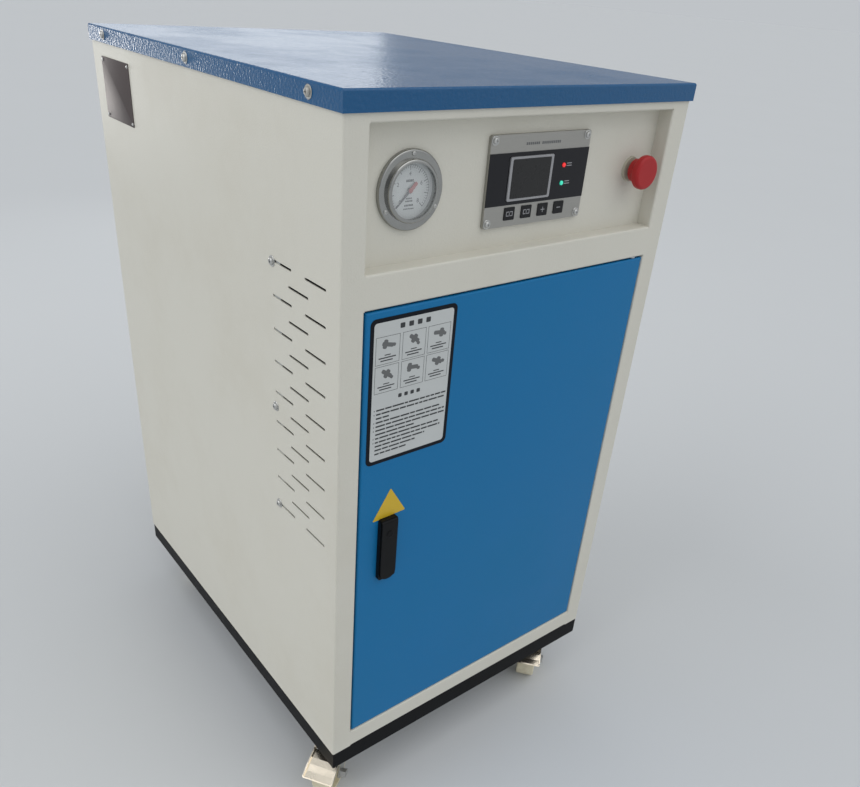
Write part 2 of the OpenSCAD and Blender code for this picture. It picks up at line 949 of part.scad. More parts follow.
// Case of the gauge: flange on the tray, rounded bezel in front, cup and stem behind
module gauge_case() {
    color([0.78, 0.78, 0.76])
        facing_front(gauge_at)
            difference() {
                union() {
                    rotate_extrude($fn = large_fn) {
                        ring_half(gauge_flange_d / 2, gauge_flange_t, gauge_flange_r);
                        ring_half(gauge_bezel_d / 2, gauge_bezel_h, gauge_edge_r);
                    }
                    translate([0, 0, -gauge_depth])
                        cylinder(d = gauge_case_d, h = gauge_depth, $fn = large_fn);
                    translate([0, 0, -gauge_depth - stem_l])
                        cylinder(d = stem_d, h = stem_l + past);
                }
                translate([0, 0, dial_z - dial_t])
                    cylinder(d = gauge_dial_d, h = gauge_cavity, $fn = large_fn);
                translate([0, 0, dial_z])
                    cylinder(d = gauge_dial_d - 2 * gauge_seat, h = 2 * gauge_bezel_h, $fn = large_fn);
            }
}

// Half section of the flange or the bezel, with a round front edge
module ring_half(r, h, edge_r) {
    square([r, h - edge_r]);
    square([r - edge_r, h]);
    translate([r - edge_r, h - edge_r])
        circle(r = edge_r);
}

module gauge_dial() {
    color([0.95, 0.95, 0.93])
        facing_front(gauge_at) {
            translate([0, 0, dial_z - dial_t])
                cylinder(d = gauge_dial_d, h = dial_t, $fn = large_fn);
            translate([0, 0, dial_z])
                cylinder(d = pointer_pin_d, h = pointer_pin_l);
        }
}

module gauge_glass() {
    color([0.85, 0.92, 0.95, 0.35])
        facing_front(gauge_at)
            translate([0, 0, gauge_bezel_h - gauge_rim_t - glass_t])
                cylinder(d = gauge_dial_d, h = glass_t, $fn = large_fn);
}

// Pointer at the start of its scale, lower left
module gauge_pointer() {
    color([0.1, 0.1, 0.1])
        facing_front(gauge_at)
            translate([0, 0, dial_z + pointer_lift])
                rotate(pointer_start)
                    difference() {
                        union() {
                            cylinder(d = pointer_hub_d, h = pointer_hub_t);
                            linear_extrude(pointer_t)
                                polygon([[-pointer_tail, -pointer_wide], [0, -pointer_mid],
                                    [pointer_len, -pointer_tip], [pointer_len, pointer_tip],
                                    [0, pointer_mid], [-pointer_tail, pointer_wide]]);
                        }
                        translate([0, 0, -past])
                            cylinder(d = pointer_pin_d + 2 * run_clear, h = pointer_hub_t + 2 * past);
                    }
}

// Face plate of the controller with its housing behind the tray
module controller_plate() {
    color([0.72, 0.7, 0.66])
        facing_front(plate_at) {
            linear_extrude(plate_t)
                round_rect(plate_w, plate_h, plate_r);
            translate([0, 0, -housing_deep])
                linear_extrude(housing_deep)
                    square([plate_w - 2 * housing_in, plate_h - 2 * housing_in], center = true);
        }
}

module controller_strip() {
    color([0.05, 0.05, 0.06])
        facing_front(plate_at)
            translate([0, strip_up, plate_t])
                linear_extrude(strip_t)
                    square([plate_w, strip_h], center = true);
}

// Frame round the screen, with the screen a little lower
module controller_screen() {
    color([0.6, 0.6, 0.58])
        facing_front(plate_at)
            translate([-screen_left, strip_up, plate_t + strip_t])
                difference() {
                    linear_extrude(screen_t)
                        round_rect(screen_w, screen_h, screen_r);
                    translate([0, 0, screen_t - screen_deep])
                        linear_extrude(screen_t)
                            square([screen_w - 2 * screen_rim, screen_h - 2 * screen_rim], center = true);
                }
}

module keypad() {
    color([0.08, 0.08, 0.09])
        facing_front(plate_at)
            for (i = [0:key_count - 1])
                translate([(i - (key_count - 1) / 2) * key_pitch, -key_drop, plate_t])
                    linear_extrude(key_t)
                        round_rect(key_side, key_tall, key_r);
}

module indicator_lamps() {
    facing_front(plate_at)
        for (i = [0, 1])
            color(lamp_colours[i])
                translate([lamp_right, lamp_up[i], plate_t + strip_t])
                    cylinder(d = lamp_d, h = lamp_t);
}

// Collar, threaded body, nut and contact block of the stop button
module estop_collar() {
    color([0.75, 0.72, 0.6])
        facing_front(stop_at)
            difference() {
                union() {
                    cylinder(d1 = stop_collar_d[0], d2 = stop_collar_d[1], h = stop_collar_h);
                    translate([0, 0, -stop_body_from - past])
                        cylinder(d = stop_hole_d, h = stop_body_from + past);
                    translate([0, 0, -sheet_t - stop_nut_h])
                        cylinder(d = stop_nut_d, h = stop_nut_h);
                    translate([-stop_body[0] / 2, -stop_body[2] / 2, -stop_body_from - stop_body[1]])
                        cube([stop_body[0], stop_body[2], stop_body[1]]);
                }
                translate([0, 0, -stop_travel - 2 * stop_stem_in])
                    cylinder(d = stop_stem_d + 2 * run_clear, h = stop_collar_h + stop_base + stop_travel);
            }
}

// Mushroom head with a thinner neck behind it, on its stem
module estop_head() {
    color([0.78, 0.08, 0.1])
        facing_front(stop_at) {
            translate([0, 0, -stop_stem_in])
                cylinder(d = stop_stem_d, h = stop_base + stop_stem_in + past);
            translate([0, 0, stop_base])
                cylinder(d = stop_neck_d, h = stop_neck_h + past);
            translate([0, 0, stop_base + stop_neck_h])
                rotate_extrude($fn = large_fn)
                    mushroom_half(stop_d / 2);
        }
}

// Half section of the mushroom head, with a small round at the back and a larger one in front
module mushroom_half(r) {
    square([r - stop_back_r, stop_head_h - stop_face_r]);
    square([r - stop_face_r, stop_head_h]);
    translate([0, stop_back_r])
        square([r, stop_head_h - stop_back_r - stop_face_r]);
    translate([r - stop_back_r, stop_back_r])
        circle(r = stop_back_r);
    translate([r - stop_face_r, stop_head_h - stop_face_r])
        circle(r = stop_face_r);
}

// Pipe from the drum's shell through the back panel
module rear_pipe(at, length) {
    difference() {
        translate([at[0], back_y + length, at[1]])
            rotate([90, 0, 0])
                cylinder(d = pipe_d, h = back_y + length - drum_y);
        translate([0, drum_y, drum_foot])
            cylinder(d = drum_d, h = drum_shell_h + 2 * drum_head_h, $fn = large_fn);
    }
}

// Part of a fitting turned about the pipe's line, from one distance behind the panel to the next
module on_pipe(at, from, to, d, sides = $fn) {
    translate([at[0], back_y + to, at[1]])
        rotate([90, 0, 0])
            cylinder(d = d, h = to - from, $fn = sides);
}

module pipe_bore(at, length, depth) {
    translate([at[0], back_y + length + past, at[1]])
        rotate([90, 0, 0])
            cylinder(r = pipe_bore_r, h = depth + past);
}

// Ball valve on a pipe: hexagon ends, round body, stem and a flat handle along the panel
module ball_valve(at) {
    valve_to = valve_from + valve_l;
    difference() {
        union() {
            rear_pipe(at, valve_from);
            on_pipe(at, valve_from, valve_from + hex_l, hex_d, hexagon);
            on_pipe(at, valve_from + hex_l, valve_to - hex_l, valve_body_d);
            on_pipe(at, valve_to - hex_l, valve_to, hex_d, hexagon);
        }
        pipe_bore(at, valve_to, valve_bore_l);
    }
    translate([at[0], back_y + valve_from + valve_l / 2, at[1]]) {
        cylinder(d = valve_stem_d, h = valve_stem_h);
        translate([0, 0, valve_stem_h - past])
            linear_extrude(handle_t) {
                circle(d = handle_hub_d);
                translate([-handle_l, -handle_w / 2])
                    square([handle_l, handle_w]);
                translate([-handle_l, 0])
                    circle(d = handle_w);
            }
    }
}

module steam_outlet() {
    color([0.78, 0.66, 0.36])
        ball_valve(steam_at);
}

module drain_valve() {
    color([0.78, 0.66, 0.36])
        mirror([1, 0, 0])
            ball_valve([-drain_at[0], drain_at[1]]);
}

// Spring safety valve: body, bonnet, cap and a side outlet
module safety_valve() {
    axis_y = back_y + safety_out;
    foot = safety_at[1] - safety_drop;
    color([0.78, 0.66, 0.36])
        difference() {
            union() {
                rear_pipe(safety_at, safety_pipe_l);
                on_pipe(safety_at, safety_hex_from, safety_hex_from + hex_l, hex_d, hexagon);
                translate([safety_at[0], axis_y, foot]) {
                    cylinder(d = safety_body[0], h = safety_body[1]);
                    translate([0, 0, safety_body[1]])
                        cylinder(d = safety_bonnet[0], h = safety_bonnet[1]);
                    translate([0, 0, safety_body[1] + safety_bonnet[1]])
                        cylinder(d = safety_cap[0], h = safety_cap[1]);
                }
                translate([safety_at[0], axis_y, safety_at[1] + safety_port_up])
                    rotate([0, 90, 0])
                        cylinder(d = safety_port[0], h = safety_port[1]);
            }
            translate([safety_at[0] + safety_port[1] - safety_bore_l, axis_y, safety_at[1] + safety_port_up])
                rotate([0, 90, 0])
                    cylinder(r = pipe_bore_r, h = safety_bore_l + past);
        }
}

// Screwed socket of the water inlet
module water_inlet() {
    color([0.78, 0.66, 0.36])
        difference() {
            union() {
                rear_pipe(inlet_at, inlet_pipe_l);
                on_pipe(inlet_at, 0, inlet_nut_l, inlet_nut_d, hexagon);
                on_pipe(inlet_at, inlet_nut_l, inlet_l, inlet_body_d);
            }
            pipe_bore(inlet_at, inlet_l, inlet_bore_l);
        }
}

// Gland for the supply lead
module cable_gland() {
    color([0.1, 0.1, 0.11])
        difference() {
            union() {
                on_pipe(gland_at, -gland_in_l, gland_out_l, gland_d);
                on_pipe(gland_at, 0, gland_flange_l, gland_hex_d, hexagon);
                on_pipe(gland_at, -sheet_t - gland_nut_l, -sheet_t, gland_hex_d, hexagon);
                on_pipe(gland_at, gland_cap_from, gland_l, gland_cap_d, hexagon);
            }
            on_pipe(gland_at, -gland_in_l - past, gland_l + past, gland_bore_d);
        }
}

// Door pan with pin holes in its upper and lower fold, a hole for the lock and a stiffener
module door_panel() {
    color([0.1, 0.36, 0.6]) {
        difference() {
            translate([0, front_y + jamb_d, door_z + door_h / 2])
                rotate([90, 0, 0])
                    pan(door_w, door_h, jamb_d);
            translate([hinge_x, hinge_y, door_z - past])
                cylinder(d = hinge_pin_d + 2 * run_clear, h = door_h + 2 * past);
            facing_front([lock_x, front_y, lock_mid])
                translate([0, 0, -sheet_t - past])
                    linear_extrude(sheet_t + 2 * past)
                        square([lock_box_w, lock_h - 2 * lock_box_in], center = true);
        }
        translate([0, front_y + sheet_t, door_z + stiffener_end])
            linear_extrude(door_h - 2 * stiffener_end)
                stiffener();
    }
}

// Section of the stiffener: a hat with its lips on the door
module stiffener() {
    half = stiffener_w / 2;
    for (side = [-1, 1]) {
        translate([side * (half + stiffener_lip / 2 - sheet_t / 2) - stiffener_lip / 2, 0])
            square([stiffener_lip, sheet_t]);
        translate([side * (half - sheet_t / 2) - sheet_t / 2, 0])
            square([sheet_t, stiffener_d]);
    }
    translate([-half, stiffener_d - sheet_t])
        square([stiffener_w, sheet_t]);
}

// One pin up from the bottom rail and one down from the middle rail, each on its washer
module door_hinge_pins() {
    washer = door_gap - hinge_washer_gap;
    reach = door_gap + hinge_pin_in;
    color([0.7, 0.71, 0.72])
        translate([hinge_x, hinge_y, door_foot])
            for (upper = [0, 1])
                translate([0, 0, upper * door_open_h])
                    mirror([0, 0, upper]) {
                        cylinder(d = hinge_washer_d, h = washer);
                        cylinder(d = hinge_pin_d, h = reach);
                    }
}

// Lock bezel on the door, its box behind and the cam turned down
module door_lock_body() {
    shaft_z = lock_h / 2 - lock_shaft_in;
    color([0.05, 0.05, 0.06])
        facing_front([lock_x, front_y, lock_mid]) {
            difference() {
                union() {
                    linear_extrude(lock_out)
                        round_rect(lock_w, lock_h, bezel_r);
                    translate([0, 0, -lock_box_d])
                        linear_extrude(lock_box_d)
                            square([lock_box_w, lock_h - 2 * lock_box_in], center = true);
                    translate([0, shaft_z, -lock_box_d - lock_shaft_l])
                        cylinder(d = lock_shaft_d, h = lock_shaft_l);
                    translate([-cam_w / 2, shaft_z + cam_w / 2 - cam_l, -lock_box_d - lock_shaft_l - cam_t])
                        cube([cam_w, cam_l, cam_t]);
                }
                translate([0, 0, lever_floor])
                    linear_extrude(lock_out)
                        lever_outline(lever_side_gap);
            }
            translate([-lever_pin_l / 2, lever_axis[0], lever_axis[1]])
                rotate([0, 90, 0])
                    cylinder(d = lever_pin_d, h = lever_pin_l);
        }
}

// Lever that lifts out about the pin in its round upper end
module door_lock_lever() {
    color([0.04, 0.04, 0.05])
        facing_front([lock_x, front_y, lock_mid])
            difference() {
                intersection() {
                    linear_extrude(lever_front)
                        lever_outline(0);
                    translate([-lever_w / 2, 0, 0])
                        rotate([90, 0, 90])
                            linear_extrude(lever_w) {
                                translate(lever_axis)
                                    circle(d = lever_t);
                                translate([lever_foot, lever_floor + lever_gap])
                                    square([lever_axis[0] - lever_foot, lever_t]);
                            }
                }
                translate([-lever_w / 2 - past, lever_axis[0], lever_axis[1]])
                    rotate([0, 90, 0])
                        cylinder(d = lever_pin_d + 2 * run_clear, h = lever_w + 2 * past);
            }
}

// Front view of the lever, grown by a gap: square at its pin, round at its free end
module lever_outline(gap) {
    half = lever_w / 2 + gap;
    r = lever_end_r + gap;
    low = lever_foot - gap;
    translate([-half, low + r])
        square([2 * half, lever_head + gap - low - r]);
    translate([-half + r, low])
        square([2 * (half - r), r]);
    for (side = [-1, 1])
        translate([side * (half - r), low + r])
            circle(r = r);
}

// Caster placed with its trailing end along its heading
module at_caster(i) {
    translate([caster_xy(i)[0], caster_xy(i)[1], 0])
        rotate(caster_heading[i])
            children();
}

// Mounting plates, fixed races and kingpins of all four casters
module caster_plates() {
    pin_foot = crown_top - crown_t - kingpin_gap;
    color([0.78, 0.78, 0.77])
        for (i = [0:3])
            translate([caster_xy(i)[0], caster_xy(i)[1], 0])
                difference() {
                    union() {
                        translate([0, 0, race_top])
                            linear_extrude(foot_t)
                                round_rect(foot_w, foot_l, foot_r);
                        translate([0, 0, race_top - race_h])
                            cylinder(d = race_d, h = race_h);
                        translate([0, 0, pin_foot])
                            cylinder(d = kingpin_d, h = race_top - pin_foot);
                        translate([0, 0, pin_foot - kingpin_head_h])
                            cylinder(d = kingpin_head_d, h = kingpin_head_h);
                    }
                    translate([0, 0, race_top - past])
                        foot_holes(foot_t + 2 * past);
                }
}

// Crown with its race, two tapered legs, pedal pins and the axle bolt
module caster_fork(pins) {
    color([0.78, 0.78, 0.77]) {
        difference() {
            union() {
                translate([0, 0, crown_top - crown_t]) {
                    cylinder(d = crown_d, h = crown_t);
                    translate([0, -fork_out, 0])
                        cube([crown_nose, 2 * fork_out, crown_t]);
                }
                translate([0, 0, crown_top])
                    cylinder(d = crown_d, h = crown_ring_h);
                for (side = [-1, 1])
                    translate([0, side * (fork_gap + fork_t / 2) + fork_t / 2, 0])
                        rotate([90, 0, 0])
                            linear_extrude(fork_t)
                                leg_shape();
            }
            translate([0, 0, crown_top - crown_t - past])
                cylinder(d = kingpin_d + 2 * run_clear, h = crown_t + crown_ring_h + 2 * past);
        }
        translate([trail, 0, axle_z])
            rotate([90, 0, 0])
                translate([0, 0, -fork_out - bolt_head_h]) {
                    cylinder(d = axle_d, h = 2 * fork_out + bolt_head_h + nut_h);
                    cylinder(d = nut_d, h = bolt_head_h, $fn = hexagon);
                    translate([0, 0, 2 * fork_out + bolt_head_h])
                        cylinder(d = nut_d, h = nut_h, $fn = hexagon);
                }
        if (pins)
            translate([pedal_pivot[0], 0, pedal_pivot[1]])
                rotate([90, 0, 0])
                    for (side = [0, 1])
                        mirror([0, 0, side])
                            translate([0, 0, fork_gap])
                                cylinder(d = pedal_pin_d, h = fork_t + pedal_gap + pedal_t + past);
    }
}

// Side view of a fork leg: wide at the crown, round at the axle
module leg_shape() {
    translate([trail, axle_z])
        circle(r = fork_end_r);
    polygon([[-fork_back, crown_top], [crown_nose, crown_top], [trail + fork_end_r, axle_z],
        [trail - fork_end_r, axle_z]]);
}

// Wheel on its bore, with rounded tread and a sunk web on both faces
module caster_wheel() {
    r = wheel_d / 2;
    half = wheel_w / 2;
    hub_half = fork_gap - hub_gap;
    bore_r = axle_d / 2 + run_clear;
    color([0.86, 0.82, 0.68])
        translate([trail, 0, r])
            rotate([90, 0, 0])
                rotate_extrude($fn = large_fn) {
                    translate([bore_r, -hub_half])
                        square([hub_wall, 2 * hub_half]);
                    translate([bore_r + hub_wall - wheel_lap, -web_half])
                        square([r - rim_t - bore_r - hub_wall + 2 * wheel_lap, 2 * web_half]);
                    translate([r - rim_t, -half])
                        square([rim_t - tread_r, 2 * half]);
                    translate([r - tread_r - wheel_lap, -half + tread_r])
                        square([tread_r + wheel_lap, 2 * (half - tread_r)]);
                    for (side = [-1, 1])
                        translate([r - tread_r, side * (half - tread_r)])
                            circle(r = tread_r);
                }
}

// Brake pedal: an arm outside each fork leg, with a bent tread plate between them
module brake_pedal() {
    color([0.82, 0.82, 0.8])
        difference() {
            intersection() {
                union() {
                    difference() {
                        edge_on(pedal_reach, 2 * pedal_reach)
                            arm_shape();
                        linear_extrude(caster_h)
                            pedal_plan(0, 2 * pedal_corner);
                    }
                    intersection() {
                        edge_on(pedal_reach, 2 * pedal_reach)
                            bent_strip(pedal_line, -pedal_t / 2, pedal_t / 2);
                        linear_extrude(caster_h)
                            pedal_plan(pedal_lap, 2 * pedal_corner);
                    }
                }
                linear_extrude(caster_h)
                    pedal_plan(pedal_t, pedal_t / 2);
            }
            translate([pedal_pivot[0], pedal_half + past, pedal_pivot[1]])
                rotate([90, 0, 0])
                    cylinder(d = pedal_pin_d + 2 * run_clear, h = 2 * (pedal_half + past));
        }
}

// Half width between the arms at a distance from the swivel
function pedal_half_at(x) = let (start = trail + pedal_flare_from)
    pedal_side + pedal_flare * max(0, x - start) / (pedal_tip - start);

// Plan of the pedal: straight beside the wheel, wider toward its lip, with its corners cut
module pedal_plan(grow, ahead) {
    front = pedal_tip + ahead;
    heel = pedal_pivot[0] - pedal_eye_r - past - ahead;
    half = [for (x = [heel, trail + pedal_flare_from, front - pedal_corner, front]) pedal_half_at(x) + grow];
    right = [[heel, half[0]], [trail + pedal_flare_from, half[1]], [front - pedal_corner, half[2]],
        [front, half[3] - pedal_corner]];
    polygon(concat(right, [for (i = [1:4]) [right[4 - i][0], -right[4 - i][1]]]));
}

// Side view swept across the caster, from its outer face inwards
module edge_on(y, width) {
    translate([0, y, 0])
        rotate([90, 0, 0])
            linear_extrude(width)
                children();
}

// Side view of a pedal arm: eye at the pivot, a rim above the tread plate and an upright tab
module arm_shape() {
    start = pedal_line[0];
    heel = start[0] - pedal_tab_w;
    count = len(pedal_line);
    translate(pedal_pivot)
        circle(r = pedal_eye_r);
    polygon(concat([[pedal_pivot[0], pedal_pivot[1] - pedal_eye_r + pedal_lap]],
        [for (i = [0:count - 1]) beside(pedal_line, i, -pedal_t / 2)],
        [for (i = [1:count]) beside(pedal_line, count - i, pedal_rims[count - i] - pedal_t / 2)],
        [[start[0], pedal_pivot[1] + pedal_tab_up], [heel, pedal_pivot[1] + pedal_tab_up],
            [heel, pedal_pivot[1] + pedal_eye_r - pedal_lap],
            [pedal_pivot[0], pedal_pivot[1] + pedal_eye_r - pedal_lap]]));
}

module caster_fork_front_left() {
    at_caster(0)
        caster_fork(true);
}

module caster_fork_front_right() {
    at_caster(1)
        caster_fork(true);
}

module caster_fork_rear_left() {
    at_caster(2)
        caster_fork(false);
}

module caster_fork_rear_right() {
    at_caster(3)
        caster_fork(false);
}

module caster_wheel_front_left() {
    at_caster(0)
        caster_wheel();
}

module caster_wheel_front_right() {
    at_caster(1)
        caster_wheel();
}

module caster_wheel_rear_left() {
    at_caster(2)
        caster_wheel();
}

module caster_wheel_rear_right() {
    at_caster(3)
        caster_wheel();
}

module brake_pedal_left() {
    at_caster(0)
        brake_pedal();
}

module brake_pedal_right() {
    at_caster(1)
        brake_pedal();
}

base_frame();
floor_pan();
left_side_panel();
right_side_panel();
left_front_post();
right_front_post();
top_rail();
middle_rail();
bottom_rail();
control_tray();
back_panel();
top_cover();
mounting_plate();
contactors();
main_breaker();
boiler_drum();
feed_pump();
gauge_case();
gauge_dial();
gauge_glass();
gauge_pointer();
controller_plate();
controller_strip();
controller_screen();
keypad();
indicator_lamps();
estop_collar();
estop_head();
steam_outlet();
safety_valve();
water_inlet();
drain_valve();
cable_gland();
door_panel();
door_hinge_pins();
door_lock_body();
door_lock_lever();
caster_plates();
caster_fork_front_left();
caster_fork_front_right();
caster_fork_rear_left();
caster_fork_rear_right();
caster_wheel_front_left();
caster_wheel_front_right();
caster_wheel_rear_left();
caster_wheel_rear_right();
brake_pedal_left();
brake_pedal_right();
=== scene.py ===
import math
import random

import bmesh
import bpy
from mathutils import Matrix, Vector


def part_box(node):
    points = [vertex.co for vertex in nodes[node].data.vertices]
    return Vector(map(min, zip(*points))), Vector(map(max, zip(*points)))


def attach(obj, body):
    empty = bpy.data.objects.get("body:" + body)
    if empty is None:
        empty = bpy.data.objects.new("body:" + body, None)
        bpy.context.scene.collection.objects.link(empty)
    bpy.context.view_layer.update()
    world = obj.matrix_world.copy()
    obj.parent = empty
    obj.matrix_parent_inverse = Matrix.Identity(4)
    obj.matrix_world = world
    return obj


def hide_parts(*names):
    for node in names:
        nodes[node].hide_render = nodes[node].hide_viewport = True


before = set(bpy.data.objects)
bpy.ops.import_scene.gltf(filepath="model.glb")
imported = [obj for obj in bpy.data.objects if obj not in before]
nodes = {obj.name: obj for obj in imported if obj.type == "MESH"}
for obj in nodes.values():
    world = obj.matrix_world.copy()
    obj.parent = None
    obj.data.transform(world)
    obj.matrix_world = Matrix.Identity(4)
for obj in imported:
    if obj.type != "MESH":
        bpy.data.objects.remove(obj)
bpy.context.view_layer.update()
print("frame loaded")

# the camera stands to the left of the front, a little above the cover
camera = {
    "place": (-0.654, -0.979, 1.0623),
    "turnDegrees": (59.62, -3.99, -37.88),
    "lens": 33.25,
    "sensor": 36,
    "shift": (0.0055, 0.0599),
    "clipStart": 0.02,
}


def newObject(name, data):
    thing = bpy.data.objects.new(name, data)
    bpy.context.scene.collection.objects.link(thing)
    return thing


def addCamera():
    data = bpy.data.cameras.new("camera")
    data.lens = camera["lens"]
    data.sensor_width = camera["sensor"]
    data.shift_x, data.shift_y = camera["shift"]
    data.clip_start = camera["clipStart"]
    eye = newObject("camera", data)
    eye.location = camera["place"]
    eye.rotation_euler = [math.radians(a) for a in camera["turnDegrees"]]
    bpy.context.scene.camera = eye


addCamera()
print("camera placed")


def feedSocket(tree, socket, value):
    if isinstance(value, Signal):
        tree.links.new(value.socket, socket)
    elif socket.type == "RGBA":
        socket.default_value = (*value, 1.0)
    else:
        socket.default_value = value


def addNode(tree, kind, settings, sockets, output):
    node = tree.nodes.new("ShaderNode" + kind)
    for name, value in settings.items():
        setattr(node, name, value)
    for name, value in sockets.items():
        feedSocket(tree, node.inputs[name], value)
    return Signal(tree, node.outputs[output])


class Signal:
    # wraps one socket, so that shader maths reads as ordinary sums
    def __init__(self, tree, socket):
        self.tree = tree
        self.socket = socket

    def math(self, operation, first, second):
        return addNode(self.tree, "Math", {"operation": operation}, {0: first, 1: second}, 0)

    def __add__(self, other):
        return self.math("ADD", self, other)

    def __radd__(self, other):
        return self.math("ADD", other, self)

    def __mul__(self, other):
        return self.math("MULTIPLY", self, other)

    def __rmul__(self, other):
        return self.math("MULTIPLY", other, self)

    def over(self, edge, soft):
        # 0 below the edge, 1 above it, over a soft step
        sockets = {"Value": self, "From Min": edge - soft, "From Max": edge + soft}
        return addNode(self.tree, "MapRange", {"interpolation_type": "SMOOTHSTEP"}, sockets, "Result")


class Finish:
    # one procedural material on Object coordinates
    def __init__(self, name, **settings):
        self.material = bpy.data.materials.new(name)
        self.material.use_nodes = True
        self.tree = self.material.node_tree
        self.shader = self.tree.nodes["Principled BSDF"]
        self.place = self.add("TexCoord", {}, "Object")
        for socket, value in settings.items():
            self.set(socket, value)

    def add(self, kind, sockets, output, **settings):
        return addNode(self.tree, kind, settings, sockets, output)

    def set(self, name, value):
        feedSocket(self.tree, self.shader.inputs[name], value)

    def stretched(self, scale):
        return self.add("Mapping", {"Vector": self.place, "Scale": scale}, "Vector")

    def noise(self, scale, detail=2.0, rough=0.5, place=None):
        sockets = {"Vector": place or self.place, "Scale": scale, "Detail": detail, "Roughness": rough}
        return self.add("TexNoise", sockets, "Fac")

    def cells(self, scale):
        return self.add("TexVoronoi", {"Vector": self.place, "Scale": scale}, "Distance")

    def mix(self, factor, first, second):
        # 6, 7 and output 2 are the node's colours
        return self.add("Mix", {"Factor": factor, 6: first, 7: second}, 2, data_type="RGBA")

    def bump(self, height, depth, strength, normal=None):
        sockets = {"Height": height, "Distance": depth, "Strength": strength}
        if normal:
            sockets["Normal"] = normal
        return self.add("Bump", sockets, "Normal")


def toned(colour, share):
    return tuple(min(1, c * share) for c in colour)


# In these dictionaries a pattern gives its scale, detail and roughness, a step its edge and softness,
# and a bump its depth and strength.

# powder coat: smudges where it is handled, specks, long waves and the orange peel
powderCoat = {
    "smudge": (4.5, 5, 0.62), "smudgeStep": (0.56, 0.16), "smudgeShare": 0.45, "smudgeRough": 0.10,
    "speck": (900, 1), "speckStep": (0.70, 0.03), "speckShare": 0.20, "speckTone": 0.6,
    "wave": (7, 2), "waveBump": (0.0006, 0.5),
    "peel": (520, 1.5, 0.4), "peelBump": (0.00022, 0.8),
}


def powderPaint(name, colour, dull, rough, gloss=0.5, coarse=1.0):
    look = powderCoat
    paint = Finish(name)
    smudge = paint.noise(*look["smudge"]).over(*look["smudgeStep"])
    speck = paint.noise(*look["speck"]).over(*look["speckStep"])
    shade = paint.mix(smudge * look["smudgeShare"], colour, dull)
    speckled = paint.mix(speck * look["speckShare"], shade, toned(colour, look["speckTone"]))
    paint.set("Base Color", speckled)
    paint.set("Roughness", rough + smudge * look["smudgeRough"])
    paint.set("Specular IOR Level", gloss)
    wave = paint.bump(paint.noise(*look["wave"]), *look["waveBump"])
    scale, detail, grit = look["peel"]
    depth, strength = look["peelBump"]
    peel = paint.noise(scale / coarse, detail, grit)
    paint.set("Normal", paint.bump(peel, depth * coarse * coarse, strength, wave))
    return paint.material


zincCoat = {
    "cloud": (60, 4, 0.6), "cloudTone": 0.78, "cloudRough": 0.16,
    "stain": (22, 5, 0.7), "stainStep": (0.60, 0.10), "stainColour": (0.34, 0.31, 0.25), "stainRough": 0.4,
    "grain": (700, 2), "grainBump": (0.00006, 0.6),
}


def zincPlate(name, tint, rough, stained):
    look = zincCoat
    zinc = Finish(name, Metallic=1.0)
    cloud = zinc.noise(*look["cloud"])
    stain = zinc.noise(*look["stain"]).over(*look["stainStep"])
    bright = zinc.mix(cloud, tint, toned(tint, look["cloudTone"]))
    zinc.set("Base Color", zinc.mix(stain * stained, bright, look["stainColour"]))
    zinc.set("Roughness", rough + cloud * look["cloudRough"] + stain * (stained * look["stainRough"]))
    zinc.set("Normal", zinc.bump(zinc.noise(*look["grain"]), *look["grainBump"]))
    return zinc.material


galvanised = {
    "flakeScale": 90, "light": (0.55, 0.57, 0.58), "dark": (0.40, 0.42, 0.43), "metal": 0.9,
    "rough": 0.36, "flakeRough": 0.25, "grain": (300, 2), "grainBump": (0.00005, 0.5),
}


def spangle():
    look = galvanised
    sheet = Finish("galvanisedSheet", Metallic=look["metal"])
    flake = sheet.cells(look["flakeScale"])
    sheet.set("Base Color", sheet.mix(flake, look["light"], look["dark"]))
    sheet.set("Roughness", look["rough"] + flake * look["flakeRough"])
    sheet.set("Normal", sheet.bump(sheet.noise(*look["grain"]), *look["grainBump"]))
    return sheet.material


hairlines = {"hair": (60, 3, 0.65), "squeeze": 40, "tone": 0.80, "hairRough": 0.18, "hairBump": (0.00005, 0.5)}


def brushed(name, colour, rough, along):
    # hairlines run along one axis, because the pattern is squeezed across it
    look = hairlines
    metal = Finish(name, Metallic=1.0)
    squeeze = tuple(1 if axis == along else look["squeeze"] for axis in "xyz")
    hair = metal.noise(*look["hair"], metal.stretched(squeeze))
    metal.set("Base Color", metal.mix(hair, toned(colour, look["tone"]), colour))
    metal.set("Roughness", rough + hair * look["hairRough"])
    metal.set("Normal", metal.bump(hair, *look["hairBump"]))
    return metal.material


polished = {
    "haze": (35, 4, 0.6), "light": (0.42, 0.42, 0.40), "dark": (0.31, 0.31, 0.30), "rough": 0.10,
    "hazeRough": 0.10, "ripple": (140, 2), "rippleBump": (0.00004, 0.4),
}


def polishedSteel():
    look = polished
    steel = Finish("polishedSteel", Metallic=1.0)
    haze = steel.noise(*look["haze"])
    steel.set("Base Color", steel.mix(haze, look["light"], look["dark"]))
    steel.set("Roughness", look["rough"] + haze * look["hazeRough"])
    steel.set("Normal", steel.bump(steel.noise(*look["ripple"]), *look["rippleBump"]))
    return steel.material


moulded = {"tone": (30, 3), "darkShare": 0.85, "wear": (80, 2), "wearRough": 0.12, "grainStrength": 0.6}


def plastic(name, colour, rough, grain=600, depth=0.00006, gloss=0.5):
    look = moulded
    shell = Finish(name)
    tone = shell.noise(*look["tone"])
    shell.set("Base Color", shell.mix(tone, toned(colour, look["darkShare"]), colour))
    shell.set("Roughness", rough + shell.noise(*look["wear"]) * look["wearRough"])
    shell.set("Specular IOR Level", gloss)
    shell.set("Normal", shell.bump(shell.noise(grain), depth, look["grainStrength"]))
    return shell.material


